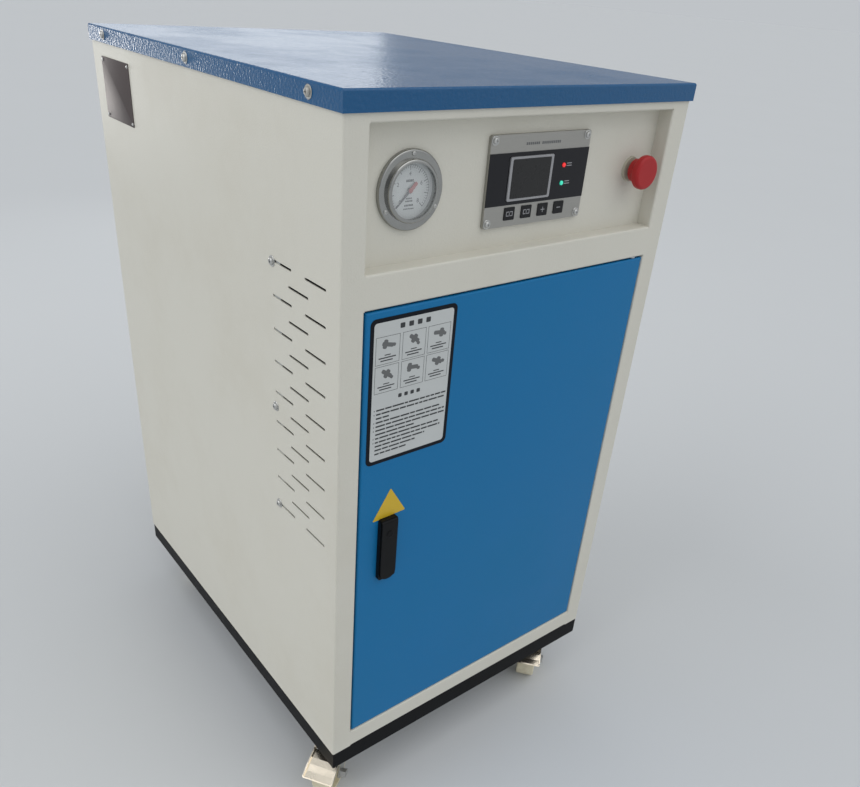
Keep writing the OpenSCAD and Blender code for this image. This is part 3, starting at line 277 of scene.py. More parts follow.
printedSheet = {
    "tone": (25, 3), "darkShare": 0.92, "rough": 0.34, "toneRough": 0.1, "fibre": (220, 2),
    "fibreBump": (0.00004, 0.4),
}


def paper(name, colour):
    look = printedSheet
    sheet = Finish(name)
    tone = sheet.noise(*look["tone"])
    sheet.set("Base Color", sheet.mix(tone, toned(colour, look["darkShare"]), colour))
    sheet.set("Roughness", look["rough"] + tone * look["toneRough"])
    sheet.set("Normal", sheet.bump(sheet.noise(*look["fibre"]), *look["fibreBump"]))
    return sheet.material


wheelNylon = {
    "worn": (45, 4, 0.6), "wornStep": (0.55, 0.12), "wornShare": 0.6, "clean": (0.74, 0.68, 0.50),
    "rubbed": (0.55, 0.47, 0.31), "rough": 0.42, "wornRough": 0.2, "glow": 0.08,
    "glowReach": (0.004, 0.003, 0.002), "cast": (260, 2), "castBump": (0.0001, 0.5),
}


def castNylon():
    look = wheelNylon
    nylon = Finish("creamNylon")
    worn = nylon.noise(*look["worn"]).over(*look["wornStep"])
    nylon.set("Base Color", nylon.mix(worn * look["wornShare"], look["clean"], look["rubbed"]))
    nylon.set("Roughness", look["rough"] + worn * look["wornRough"])
    nylon.set("Subsurface Weight", look["glow"])
    nylon.set("Subsurface Radius", look["glowReach"])
    nylon.set("Normal", nylon.bump(nylon.noise(*look["cast"]), *look["castBump"]))
    return nylon.material


valveBrass = {
    "dull": (30, 4, 0.7), "dullStep": (0.55, 0.12), "dullShare": 0.6, "bright": (0.70, 0.52, 0.24),
    "tarnish": (0.42, 0.32, 0.16), "rough": 0.26, "dullRough": 0.25, "cast": (180, 3),
    "castBump": (0.00012, 0.5),
}


def brass():
    look = valveBrass
    metal = Finish("castBrass", Metallic=1.0)
    dull = metal.noise(*look["dull"]).over(*look["dullStep"])
    metal.set("Base Color", metal.mix(dull * look["dullShare"], look["bright"], look["tarnish"]))
    metal.set("Roughness", look["rough"] + dull * look["dullRough"])
    metal.set("Normal", metal.bump(metal.noise(*look["cast"]), *look["castBump"]))
    return metal.material


gaugeGlass = {
    "rough": 0.03, "bend": 1.45, "tint": (0.95, 0.98, 0.98), "gloss": 0.6, "clear": 0.14, "dust": (20, 2),
    "dustShare": 0.03,
}


def glass():
    look = gaugeGlass
    pane = Finish("clearGlass", Roughness=look["rough"], IOR=look["bend"])
    pane.set("Base Color", look["tint"])
    pane.set("Alpha", look["clear"] + pane.noise(*look["dust"]) * look["dustShare"])
    pane.set("Specular IOR Level", look["gloss"])
    return pane.material


litLens = {"core": (300, 1), "lensTone": 1.3, "glowTone": 1.4, "rough": 0.2}


def lamp(name, colour, strength):
    look = litLens
    lens = Finish(name, Roughness=look["rough"])
    core = lens.noise(*look["core"])
    lens.set("Base Color", lens.mix(core, colour, toned(colour, look["lensTone"])))
    lens.set("Emission Color", lens.mix(core, colour, toned(colour, look["glowTone"])))
    lens.set("Emission Strength", strength)
    return lens.material


rolledShell = {
    "rolled": (30, 3, 0.6), "squeeze": (1, 1, 14), "heat": (5, 3), "heatStep": (0.55, 0.12), "heatShare": 0.5,
    "bare": (0.46, 0.47, 0.47), "heated": (0.36, 0.31, 0.25), "metal": 0.95, "rough": 0.30,
    "rolledRough": 0.2, "rolledBump": (0.00008, 0.5),
}


def drumSteel():
    look = rolledShell
    shell = Finish("drumSteel", Metallic=look["metal"])
    rolled = shell.noise(*look["rolled"], shell.stretched(look["squeeze"]))
    heat = shell.noise(*look["heat"]).over(*look["heatStep"])
    shell.set("Base Color", shell.mix(heat * look["heatShare"], look["bare"], look["heated"]))
    shell.set("Roughness", look["rough"] + rolled * look["rolledRough"])
    shell.set("Normal", shell.bump(rolled, *look["rolledBump"]))
    return shell.material


finishes = {
    "white": powderPaint("whitePowderCoat", (0.66, 0.64, 0.56), (0.60, 0.57, 0.48), 0.42),
    "blue": powderPaint("bluePowderCoat", (0.004, 0.158, 0.375), (0.008, 0.162, 0.350), 0.38, 0.22),
    # the cover's blue is the door's blue darkened to about 0.6: painted shade of the lid
    "cover": powderPaint("coverPaintedShadeCoat", (0.004, 0.086, 0.222), (0.008, 0.092, 0.210), 0.20, 0.45,
                         coarse=1.8),
    "black": powderPaint("blackPaint", (0.004, 0.004, 0.005), (0.009, 0.009, 0.008), 0.46, 0.10),
    "zinc": zincPlate("brightZinc", (0.62, 0.62, 0.60), 0.28, 0.5),
    # the pedals' zinc is tinted cream and brighter than the forks' zinc: painted reflection of a bright cream
    # surface
    "pedal": zincPlate("pedalZincPaintedReflection", (0.96, 0.86, 0.70), 0.14, 0.15),
    "sheet": spangle(),
    "drum": drumSteel(),
    "pump": powderPaint("pumpPaint", (0.04, 0.11, 0.22), (0.03, 0.08, 0.15), 0.40),
    "switchDark": plastic("switchDark", (0.035, 0.037, 0.040), 0.5),
    "switchGrey": plastic("switchGrey", (0.62, 0.62, 0.58), 0.45),
    "steel": polishedSteel(),
    # the dial's white is darkened: painted shade of the dial behind its glass
    "dial": paper("dialPaperPaintedShade", (0.56, 0.58, 0.57)),
    "ink": plastic("blackInk", (0.015, 0.015, 0.018), 0.45),
    "redInk": plastic("redInk", (0.36, 0.02, 0.015), 0.45),
    "glass": glass(),
    "plate": brushed("brushedPlate", (0.45, 0.44, 0.41), 0.32, "x"),
    "strip": plastic("glossStrip", (0.009, 0.009, 0.012), 0.16, 900, 0.00002, 0.30),
    "screenFrame": plastic("screenFrame", (0.34, 0.34, 0.35), 0.35),
    "screen": plastic("darkScreen", (0.018, 0.018, 0.018), 0.22, 1200, 0.00002, 0.35),
    "key": plastic("keyBlack", (0.012, 0.012, 0.013), 0.42, gloss=0.25),
    "keyMark": paper("keyMark", (0.34, 0.34, 0.35)),
    "redLamp": lamp("redLamp", (0.75, 0.03, 0.03), 0.5),
    "greenLamp": lamp("greenLamp", (0.05, 0.62, 0.42), 0.45),
    "collar": plastic("collarGrey", (0.45, 0.42, 0.33), 0.4),
    "red": plastic("stopRed", (0.43, 0.016, 0.018), 0.34, 400, 0.00005, 0.32),
    "brass": brass(),
    "nylon": plastic("blackNylon", (0.005, 0.0055, 0.006), 0.40, 500, 0.00008, 0.15),
    "wheel": castNylon(),
    "labelSheet": paper("labelSheet", (0.56, 0.58, 0.57)),
    "labelInk": plastic("labelInk", (0.006, 0.008, 0.013), 0.5, gloss=0.15),
    "labelText": plastic("labelText", (0.055, 0.058, 0.060), 0.5, gloss=0.2),
    "labelGrey": plastic("labelGrey", (0.16, 0.165, 0.165), 0.5, gloss=0.2),
    "yellow": paper("yellowSheet", (0.66, 0.44, 0.02)),
    "nameplate": brushed("darkPlate", (0.13, 0.108, 0.104), 0.38, "z"),
}
print("finishes made", len(finishes))

casterCorners = ["front_left", "front_right", "rear_left", "rear_right"]
nodeFinish = {
    "white": ["left_side_panel", "right_side_panel", "left_front_post", "right_front_post", "top_rail",
              "middle_rail", "bottom_rail", "control_tray", "back_panel"],
    "blue": ["door_panel"],
    "cover": ["top_cover"],
    "black": ["base_frame"],
    "sheet": ["floor_pan", "mounting_plate"],
    "switchDark": ["contactors"],
    "switchGrey": ["main_breaker"],
    "drum": ["boiler_drum"],
    "pump": ["feed_pump"],
    "steel": ["gauge_case"],
    "dial": ["gauge_dial"],
    "glass": ["gauge_glass"],
    "ink": ["gauge_pointer"],
    "plate": ["controller_plate"],
    "strip": ["controller_strip"],
    "screenFrame": ["controller_screen"],
    "key": ["keypad"],
    "redLamp": ["indicator_lamps"],
    "collar": ["estop_collar"],
    "red": ["estop_head"],
    "brass": ["steam_outlet", "safety_valve", "water_inlet", "drain_valve"],
    "nylon": ["cable_gland", "door_lock_body", "door_lock_lever"],
    "zinc": ["caster_plates", "door_hinge_pins"] + ["caster_fork_" + corner for corner in casterCorners],
    "pedal": ["brake_pedal_left", "brake_pedal_right"],
    "wheel": ["caster_wheel_" + corner for corner in casterCorners],
}


def paintNodes():
    for finish, names in nodeFinish.items():
        for name in names:
            slots = nodes[name].data.materials
            slots.clear()
            slots.append(finishes[finish])


paintNodes()
print("CAD nodes painted")

# places on the cabinet, read from the frame
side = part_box("left_side_panel")
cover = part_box("top_cover")
leftX = side[0].x
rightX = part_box("right_side_panel")[1].x
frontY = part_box("left_front_post")[0].y
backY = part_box("back_panel")[1].y
footZ = side[0].z
faceFront = Matrix.Rotation(math.pi / 2, 4, "X")  # local x right, y up, z towards who stands before it


def faceTurned(degrees):
    return Matrix.Rotation(math.radians(degrees), 4, "Z") @ faceFront


def onFront(x, z, out=0.0):
    # x and z from the cabinet's lower left front corner, out towards the viewer
    return Matrix.Translation((leftX + x, frontY - out, footZ + z)) @ faceFront


def onLeft(y, z, out=0.0):
    # y is measured back from the front face
    return Matrix.Translation((leftX - out, frontY + y, footZ + z)) @ faceTurned(-90)


def onRight(y, z, out=0.0):
    return Matrix.Translation((rightX + out, frontY + y, footZ + z)) @ faceTurned(90)


def onBack(x, z):
    return Matrix.Translation((leftX + x, backY, footZ + z)) @ faceTurned(180)


def finishPiece(name, bm, finish, body, smoothAngle=None):
    bmesh.ops.recalc_face_normals(bm, faces=bm.faces)
    mesh = bpy.data.meshes.new(name)
    bm.to_mesh(mesh)
    bm.free()
    mesh.materials.append(finishes[finish])
    if smoothAngle is not None:
        mesh.shade_smooth()
        mesh.set_sharp_from_angle(angle=math.radians(smoothAngle))
    piece = newObject(name, mesh)
    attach(piece, body)
    return piece


# how finely corners are rounded, and how close two points are one point or two heights one height
meshing = {"cornerSteps": 6, "rimSteps": 2, "turnSteps": 24, "merge": 1e-6, "flat": 1e-7}


def bevelEdges(bm, verts, edges, offset, steps):
    # rounds some edges of one part, and returns all the vertices of that part's faces there
    done = bmesh.ops.bevel(bm, geom=edges, offset=offset, affect="EDGES", segments=steps, profile=0.5,
                           material=-1)
    kept = {v for f in done["faces"] for v in f.verts} | {v for v in verts if v.is_valid}
    linked = {f for v in kept for f in v.link_faces}
    return list({v for f in linked for v in f.verts})


def addPlate(bm, place, width, height, thick, radius=0.0, x=0.0, y=0.0, low=0.0, edge=0.0):
    # flat plate with round corners and a softened front edge, its back at height low above the place
    verts = bmesh.ops.create_cube(bm, size=1.0)["verts"]
    bmesh.ops.scale(bm, vec=(width, height, thick), verts=verts)
    bmesh.ops.translate(bm, vec=(x, y, low + thick / 2), verts=verts)
    if radius > 0:
        edges = {e for v in verts for e in v.link_edges}
        upright = [e for e in edges if abs((e.verts[0].co - e.verts[1].co).z) > thick / 2]
        verts = bevelEdges(bm, verts, upright, radius, meshing["cornerSteps"])
    if edge > 0:
        top = low + thick
        edges = {e for v in verts for e in v.link_edges}
        rim = [e for e in edges if all(abs(v.co.z - top) < meshing["merge"] for v in e.verts)
               and any(abs(f.normal.z) < 0.5 for f in e.link_faces)]
        verts = bevelEdges(bm, verts, rim, edge, meshing["rimSteps"])
    bmesh.ops.transform(bm, matrix=place, verts=verts)


def addTurned(bm, place, outline, steps=meshing["turnSteps"]):
    # solid turned about the place's z axis from (radius, height) points that start and end on the axis
    ring = [bm.verts.new((r, 0, z)) for r, z in outline]
    edges = [bm.edges.new(pair) for pair in zip(ring, ring[1:])]
    bmesh.ops.spin(bm, geom=ring + edges, cent=(0, 0, 0), axis=(0, 0, 1), angle=2 * math.pi, steps=steps,
                   use_merge=True)
    linked = set()
    stack = [ring[0]]
    while stack:
        v = stack.pop()
        if v not in linked:
            linked.add(v)
            stack += [e.other_vert(v) for e in v.link_edges]
    verts = list(linked)
    bmesh.ops.remove_doubles(bm, verts=verts, dist=meshing["merge"])
    bmesh.ops.transform(bm, matrix=place, verts=[v for v in verts if v.is_valid])


def joinInto(bm, part):
    mesh = bpy.data.meshes.new("part")
    part.to_mesh(mesh)
    part.free()
    bm.from_mesh(mesh)
    bpy.data.meshes.remove(mesh)


# pan-head cross screw; the washer's outline is in shares of the head's radius and of its own thickness
screw = {
    "head": 0.0042, "rise": 0.0024, "rim": 0.35, "dome": 0.45, "domeDegrees": (22, 45, 68), "crown": 0.5,
    "arm": 0.00192, "slot": 0.0005, "deep": 0.0011,
    "washerThick": 0.0008, "washer": [(0, 0), (1.45, 0), (1.5, 0.5), (1.4, 1), (0, 1)],
}


def addScrew(bm, place, size=1.0, washer=False):
    r = screw["head"] * size
    rise = screw["rise"] * size
    rim, dome = screw["rim"], screw["dome"]
    lift = 0.0
    if washer:
        lift = screw["washerThick"] * size
        addTurned(bm, place, [(r * out, lift * up) for out, up in screw["washer"]])
    outline = [(0, lift), (r, lift), (r, lift + rise * rim)]
    for degrees in screw["domeDegrees"]:
        a = math.radians(degrees)
        outline.append((r * (1 - dome + dome * math.cos(a)), lift + rise * (rim + (1 - rim) * math.sin(a))))
    outline += [(r * screw["crown"], lift + rise), (0, lift + rise)]
    head = bmesh.new()
    addTurned(head, Matrix.Identity(4), outline)
    bmesh.ops.recalc_face_normals(head, faces=head.faces)
    cutCross(head, lift + rise, size)
    bmesh.ops.transform(head, matrix=place, verts=head.verts)
    joinInto(bm, head)


def cutCross(head, top, size):
    # the flat of the head is cut along the cross, and the cross is pushed down
    arm = screw["arm"] * size
    half = screw["slot"] * size
    flat = meshing["flat"]
    for normal in ((1, 0, 0), (0, 1, 0)):
        for spot in (-arm, -half, half, arm):
            faces = [f for f in head.faces if all(abs(v.co.z - top) < flat for v in f.verts)]
            geom = faces + list({e for f in faces for e in f.edges}) + list({v for f in faces for v in f.verts})
            bmesh.ops.bisect_plane(head, geom=geom, dist=flat, plane_co=Vector(normal) * spot, plane_no=normal)
    cross = []
    for f in head.faces:
        mid = f.calc_center_median()
        inside = abs(mid.x) < half and abs(mid.y) < arm or abs(mid.y) < half and abs(mid.x) < arm
        if abs(mid.z - top) < flat and inside:
            cross.append(f)
    sunk = bmesh.ops.extrude_face_region(head, geom=cross)
    bmesh.ops.delete(head, geom=[f for f in cross if f.is_valid], context="FACES_ONLY")
    low = [v for v in sunk["geom"] if isinstance(v, bmesh.types.BMVert)]
    bmesh.ops.translate(head, vec=(0, 0, -screw["deep"] * size), verts=low)


# screws of the side panels, back from the front and up from the foot, and of the cover's skirt above them
panelScrews = {
    "panel": [(0.1378, 0.6685), (0.1373, 0.490), (0.135, 0.350)],
    "skirt": [0.055, 0.325, 0.595], "skirtUp": 0.010, "skirtSize": 1.05,
}


def sideScrews():
    d = panelScrews
    skirtZ = cover[0].z - footZ + d["skirtUp"]
    sides = [("leftScrews", onLeft, leftX - cover[0].x), ("rightScrews", onRight, cover[1].x - rightX)]
    for name, put, skirtOut in sides:
        bm = bmesh.new()
        for y, z in d["panel"]:
            addScrew(bm, put(y, z), washer=True)
        for y in d["skirt"]:
            addScrew(bm, put(y, skirtZ, skirtOut), d["skirtSize"], washer=True)
        finishPiece(name, bm, "zinc", "cabinet", 35)


sideScrews()
print("side screws in")

# instruction sheet on the door: border, pale ground, six cells, blocks for headings and bars for lines
doorLabel = {
    "left": 0.037, "right": 0.1535, "low": 0.4637, "high": 0.641, "border": 0.0048, "radius": 0.007,
    "groundRadius": 0.004, "thick": 0.0003, "print": 0.00008, "seed": 7,
    "cellColumns": [(0.0445, 0.076), (0.0795, 0.111), (0.114, 0.1455)],
    "cellRows": [(0.588, 0.620), (0.554, 0.586)], "cellLine": 0.0004, "symbolDown": 0.0098,
    # bars under a symbol: ends from the cell's middle, height above its foot, how tall
    "captions": [(-0.004, 0.004, 0.0104, 0.0011), (-0.0115, 0.011, 0.0074, 0.0013),
                 (-0.009, 0.007, 0.0042, 0.0013)],
    # first block's middle, pitch, height, and each block's width and height
    "headings": [(0.0785, 0.0115, 0.6285, 0.0062, 0.0058), (0.0800, 0.0085, 0.5452, 0.0048, 0.0046)],
    "headingBlocks": 4, "headingRound": 0.001,
    "textLeft": 0.0485, "textWide": 0.098, "textTop": 0.5335, "textPitch": 0.0051, "textTall": 0.0019,
    "lineShares": [1.0, 1.0, 0.18, 0.92, 1.0, 1.0, 0.55, 0.92, 0.95, 0.72, 0.58, 0.45],
    "wordLeast": 0.004, "wordSpread": 0.012, "wordGap": 0.0012, "wordEnd": 0.001,
    "dotOver": 0.9, "dotLeft": 0.0026, "dot": 0.0012, "dotRound": 0.0004,
}


def labelBase():
    d = doorLabel
    cx, cz = (d["left"] + d["right"]) / 2, (d["low"] + d["high"]) / 2
    w, h = d["right"] - d["left"], d["high"] - d["low"]
    inset = 2 * d["border"]
    border = bmesh.new()
    addPlate(border, onFront(cx, cz), w, h, d["thick"], d["radius"])
    finishPiece("labelBorder", border, "labelInk", "door", 40)
    ground = bmesh.new()
    addPlate(ground, onFront(cx, cz, d["thick"]), w - inset, h - inset, d["print"], d["groundRadius"])
    finishPiece("labelGround", ground, "labelSheet", "door", 40)


def onLabel(x, z):
    return onFront(x, z, doorLabel["thick"] + doorLabel["print"])


def addBar(bm, x0, x1, z, tall):
    addPlate(bm, onLabel((x0 + x1) / 2, z), x1 - x0, tall, doorLabel["print"])


def addCellFrame(bm, x0, x1, z0, z1, line):
    addBar(bm, x0, x1, z0 + line / 2, line)
    addBar(bm, x0, x1, z1 - line / 2, line)
    for x in (x0, x1 - line):
        addBar(bm, x, x + line, (z0 + z1) / 2, z1 - z0 - 2 * line)


# three blocks make a symbol: width, height, corner and how proud, so that no two of their tops meet
labelSymbol = {
    "blocks": [(0.0155, 0.0048, 0.0018, 1.0), (0.0056, 0.0105, 0.0020, 1.3), (0.0044, 0.0038, 0.0014, 1.6)],
    "turnDegrees": 40, "blockSlide": 0.005, "endOut": 0.0082, "endSlide": 0.002,
}


def addSymbol(bm, x, z, rng):
    # a plain shape, different in each cell
    d = labelSymbol
    turn = rng.uniform(-d["turnDegrees"], d["turnDegrees"])
    blockX = rng.uniform(-d["blockSlide"], d["blockSlide"])
    endY = rng.uniform(-d["endSlide"], d["endSlide"])
    place = onLabel(x, z) @ Matrix.Rotation(math.radians(turn), 4, "Z")
    spots = [(0, 0), (blockX, 0), (d["endOut"], endY)]
    for (wide, tall, corner, proud), (across, up) in zip(d["blocks"], spots):
        addPlate(bm, place, wide, tall, doorLabel["print"] * proud, corner, x=across, y=up)


def labelPrint():
    d = doorLabel
    rng = random.Random(d["seed"])
    bm = bmesh.new()
    symbols = bmesh.new()
    for x0, x1 in d["cellColumns"]:
        for z0, z1 in d["cellRows"]:
            addCellFrame(bm, x0, x1, z0, z1, d["cellLine"])
            mid = (x0 + x1) / 2
            addSymbol(symbols, mid, z1 - d["symbolDown"], rng)
            for start, end, up, tall in d["captions"]:
                addBar(bm, mid + start, mid + end, z0 + up, tall)
    for x, pitch, z, wide, tall in d["headings"]:
        for i in range(d["headingBlocks"]):
            addPlate(bm, onLabel(x + i * pitch, z), wide, tall, d["print"], d["headingRound"])
    for row, share in enumerate(d["lineShares"]):
        x, z = d["textLeft"], d["textTop"] - row * d["textPitch"]
        end = x + d["textWide"] * share
        if share > d["dotOver"]:
            addPlate(bm, onLabel(x - d["dotLeft"], z), d["dot"], d["dot"], d["print"], d["dotRound"])
        while end - x > d["wordEnd"]:
            word = d["wordLeast"] + d["wordSpread"] * rng.random()
            addBar(bm, x, min(x + word, end), z, d["textTall"])
            x += word + d["wordGap"]
    finishPiece("labelPrint", bm, "labelText", "door")
    finishPiece("labelSymbols", symbols, "labelGrey", "door")


labelBase()
labelPrint()

# plain yellow triangle above the lock: its three corners on the front, and how they are rounded
yellowTriangle = {
    "corners": [(0.050, 0.382), (0.0986, 0.384), (0.075, 0.4227)], "thick": 0.0003, "round": 0.0022,
}


def addYellowTriangle():
    d = yellowTriangle
    bm = bmesh.new()
    corners = [bm.verts.new((x, z, 0)) for x, z in d["corners"]]
    bmesh.ops.contextual_create(bm, geom=corners)
    bmesh.ops.bevel(bm, geom=corners, offset=d["round"], affect="VERTICES", segments=meshing["cornerSteps"],
                    profile=0.5, material=-1)
    flat = bmesh.ops.extrude_face_region(bm, geom=list(bm.faces))
    top = [v for v in flat["geom"] if isinstance(v, bmesh.types.BMVert)]
    bmesh.ops.translate(bm, vec=(0, 0, d["thick"]), verts=top)
    bmesh.ops.transform(bm, matrix=onFront(0, 0), verts=bm.verts)
    finishPiece("yellowTriangle", bm, "yellow", "door", 40)


addYellowTriangle()

# bare dark plate high on the left side, held by a rivet at each corner
sidePlate = {
    "y": 0.567, "z": 0.7825, "width": 0.100, "height": 0.079, "thick": 0.0008, "round": 0.002, "edge": 0.0002,
    "rivetIn": 0.004, "rivetSteps": 16,
    "rivet": [(0, 0), (0.0022, 0), (0.0020, 0.0006), (0.0012, 0.0011), (0, 0.0013)],
}


def fourCorners(width, height, inset, up=0.0):
    # the corners of a rectangle about its middle, drawn in by the inset
    return [Matrix.Translation((sx * (width / 2 - inset[0]), sy * (height / 2 - inset[1]), up))
            for sx in (-1, 1) for sy in (-1, 1)]


def addSidePlate():
    d = sidePlate
    place = onLeft(d["y"], d["z"])
    bm = bmesh.new()
    addPlate(bm, place, d["width"], d["height"], d["thick"], d["round"], edge=d["edge"])
    finishPiece("sidePlate", bm, "nameplate", "cabinet", 40)
    rivets = bmesh.new()
    for corner in fourCorners(d["width"], d["height"], (d["rivetIn"], d["rivetIn"]), d["thick"]):
        addTurned(rivets, place @ corner, d["rivet"], d["rivetSteps"])
    finishPiece("sidePlateRivets", rivets, "zinc", "cabinet", 40)


addSidePlate()
print("labels and plates on")

# the gauge's scale round 270 degrees, from lower left: ticks long and wide, a thin arc, plain numbers
dialFace = {
    "start": 225, "sweep": 270, "major": 8, "minor": 5, "rim": 0.0244, "dialThick": 0.001, "thick": 0.0002,
    "majorTick": (0.0052, 0.0007), "minorTick": (0.0030, 0.00038),
    "arcSteps": 60, "arcWide": 0.00035, "arcThick": 0.00014,
    "numberEvery": 2, "numberIn": 0.0086, "numberTall": 0.0058,
    # rows of small blocks: height from the middle, width, how tall
    "printRows": [(0.0092, 0.0090, 0.0024), (-0.0082, 0.0076, 0.0015), (-0.0108, 0.0092, 0.0015),
                  (-0.0150, 0.0108, 0.0020), (-0.0184, 0.0140, 0.0013)],
    "blockPitch": 0.0019, "blockShare": 0.76,
}


def dialPlace():
    # the middle of the dial's front
    low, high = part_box("gauge_glass")
    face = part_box("gauge_dial")[1].y - dialFace["dialThick"]
    return Matrix.Translation(((low.x + high.x) / 2, face, (low.z + high.z) / 2)) @ faceFront


def scaleAngle(share):
    return math.radians(dialFace["start"] - dialFace["sweep"] * share)


def dialMarks():
    d = dialFace
    place = dialPlace()
    bm = bmesh.new()
    count = d["major"] * d["minor"]
    for i in range(count + 1):
        long, wide = d["majorTick"] if i % d["minor"] == 0 else d["minorTick"]
        spot = place @ Matrix.Rotation(scaleAngle(i / count), 4, "Z")
        addPlate(bm, spot, long, wide, d["thick"], x=d["rim"] - long / 2)
    arcLong = math.radians(d["sweep"] / d["arcSteps"]) * d["rim"]
    for i in range(d["arcSteps"]):
        spot = place @ Matrix.Rotation(scaleAngle((i + 0.5) / d["arcSteps"]), 4, "Z")
        addPlate(bm, spot, d["arcWide"], arcLong, d["arcThick"], x=d["rim"])
    for y, wide, tall in d["printRows"]:
        blocks = round(wide / d["blockPitch"])
        for i in range(blocks):
            x = (i - (blocks - 1) / 2) * d["blockPitch"]
            addPlate(bm, place, d["blockPitch"] * d["blockShare"], tall, d["thick"], x=x, y=y)
    finishPiece("dialMarks", bm, "ink", "cabinet")


def dialNumbers():
    d = dialFace
    place = dialPlace()
    bm = bmesh.new()
    out = d["rim"] - d["numberIn"]
    for i in range(0, d["major"] + 1, d["numberEvery"]):
        angle = scaleAngle(i / d["major"])
        spot = Matrix.Translation((out * math.cos(angle), out * math.sin(angle), d["thick"] / 2))
        curve = bpy.data.curves.new("number", "FONT")
        curve.body = str(i)
        curve.size = d["numberTall"]
        curve.extrude = d["thick"] / 2
        curve.align_x = "CENTER"
        curve.align_y = "CENTER"
        holder = newObject("number", curve)
        bpy.context.view_layer.update()
        mesh = bpy.data.meshes.new_from_object(holder)
        mesh.transform(place @ spot)
        bm.from_mesh(mesh)
        bpy.data.objects.remove(holder)
        bpy.data.curves.remove(curve)
        bpy.data.meshes.remove(mesh)
    finishPiece("dialNumbers", bm, "ink", "cabinet")


# red counterweight end and hub over the dark pointer
pointerEnd = {
    "lift": 0.0023, "turnDegrees": 45, "long": 0.0085, "wide": 0.0040, "thick": 0.0003, "round": 0.0012,
    "out": 0.0062, "hub": [(0, 0), (0.0026, 0), (0.0026, 0.0005), (0.0016, 0.0009), (0, 0.0010)],
}


def pointerTail():
    d = pointerEnd
    turn = Matrix.Rotation(math.radians(d["turnDegrees"]), 4, "Z")
    place = dialPlace() @ Matrix.Translation((0, 0, d["lift"])) @ turn
    bm = bmesh.new()
    addPlate(bm, place, d["long"], d["wide"], d["thick"], d["round"], x=d["out"])
    addTurned(bm, place, d["hub"])
    finishPiece("pointerTail", bm, "redInk", "pointer", 40)


gaugeFlange = {"proud": 0.005, "circle": 0.0358, "screwDegrees": (90, 210, 330), "screwSize": 0.55}


def flangeScrews():
    d = gaugeFlange
    low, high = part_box("gauge_case")
    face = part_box("control_tray")[0].y - d["proud"]
    place = Matrix.Translation(((low.x + high.x) / 2, face, (low.z + high.z) / 2)) @ faceFront
    bm = bmesh.new()
    for degrees in d["screwDegrees"]:
        turn = Matrix.Rotation(math.radians(degrees), 4, "Z")
        addScrew(bm, place @ turn @ Matrix.Translation((d["circle"], 0, 0)), d["screwSize"])
    finishPiece("flangeScrews", bm, "zinc", "cabinet", 35)


dialMarks()
dialNumbers()
pointerTail()
flangeScrews()
print("gauge dressed")

# what lies on the controller's plate, measured from the plate's middle
controllerFace = {
    "screenWide": 0.058, "screenTall": 0.042, "screenThick": 0.0002, "screenRound": 0.001,
    "screwIn": (0.0058, 0.0052), "screwSize": 0.85, "keyWide": 0.0157, "print": 0.0001,
    # bars beside each lamp: height from the lamp, and length
    "lampBars": [(0.0016, 0.0075), (-0.0010, 0.0085)], "lampBarTall": 0.0009, "lampBarOut": 0.0065,
    "lampBarUp": 0.0006, "lampIn": 0.0025,
    "titleStart": -0.0255, "titleBlocks": 18, "titlePitch": 0.0030, "titleShare": 0.72, "titleTall": 0.0028,
    "titleGap": 7, "titleDown": 0.0105,
}

# bars on each key: width, height, place on the key, and how far it lies over the others
keyMarks = {
    "window": [(0.0042, 0.0008, -0.0026, 0.0022, 0), (0.0042, 0.0008, -0.0026, -0.0022, 0),
               (0.0042, 0.0008, 0.0026, 0.0022, 0), (0.0042, 0.0008, 0.0026, -0.0022, 0),
               (0.0008, 0.0045, -0.0045, 0, 0.00005), (0.0008, 0.0045, 0.0045, 0, 0.00005),
               (0.0008, 0.0030, 0, 0, 0)],
    "plus": [(0.0060, 0.0009, 0, 0, 0), (0.0009, 0.0060, 0, 0, 0.00005)],
    "minus": [(0.0060, 0.0009, 0, 0, 0)],
}
keyRow = ["window", "window", "plus", "minus"]


def platePlace():
    low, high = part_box("controller_plate")
    return Matrix.Translation(((low.x + high.x) / 2, low.y, (low.z + high.z) / 2)) @ faceFront


def boxOnPlate(name):
    # a node's corners from the middle of the controller's plate, across and up, and how far it stands out
    low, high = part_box(name)
    middle = platePlace().translation
    return (low.x - middle.x, low.z - middle.z), (high.x - middle.x, high.z - middle.z), middle.y - low.y


def screenPane(place):
    d = controllerFace
    low, high, out = boxOnPlate("controller_screen")
    bm = bmesh.new()
    addPlate(bm, place, d["screenWide"], d["screenTall"], d["screenThick"], d["screenRound"],
             x=(low[0] + high[0]) / 2, y=(low[1] + high[1]) / 2, low=out)
    finishPiece("screenPane", bm, "screen", "cabinet", 40)


def plateScrews(place):
    d = controllerFace
    low, high = boxOnPlate("controller_plate")[:2]
    bm = bmesh.new()
    for corner in fourCorners(high[0] - low[0], high[1] - low[1], d["screwIn"]):
        addScrew(bm, place @ corner, d["screwSize"], washer=True)
    finishPiece("plateScrews", bm, "zinc", "cabinet", 35)


def controllerMarks(place):
    d = controllerFace
    bm = bmesh.new()
    low, high, out = boxOnPlate("keypad")
    pitch = (high[0] - low[0] - d["keyWide"]) / (len(keyRow) - 1)
    for i, mark in enumerate(keyRow):
        x = (i - (len(keyRow) - 1) / 2) * pitch
        key = place @ Matrix.Translation((x, (low[1] + high[1]) / 2, out))
        for wide, tall, across, up, over in keyMarks[mark]:
            addPlate(bm, key, wide, tall, d["print"], x=across, y=up, low=over)
    low, high, out = boxOnPlate("indicator_lamps")
    for z in (high[1] - d["lampIn"], low[1] + d["lampIn"]):
        for up, long in d["lampBars"]:
            addPlate(bm, place, long, d["lampBarTall"], d["print"], x=high[0] + d["lampBarOut"], y=z + up,
                     low=d["lampBarUp"])
    finishPiece("controllerMarks", bm, "keyMark", "cabinet")


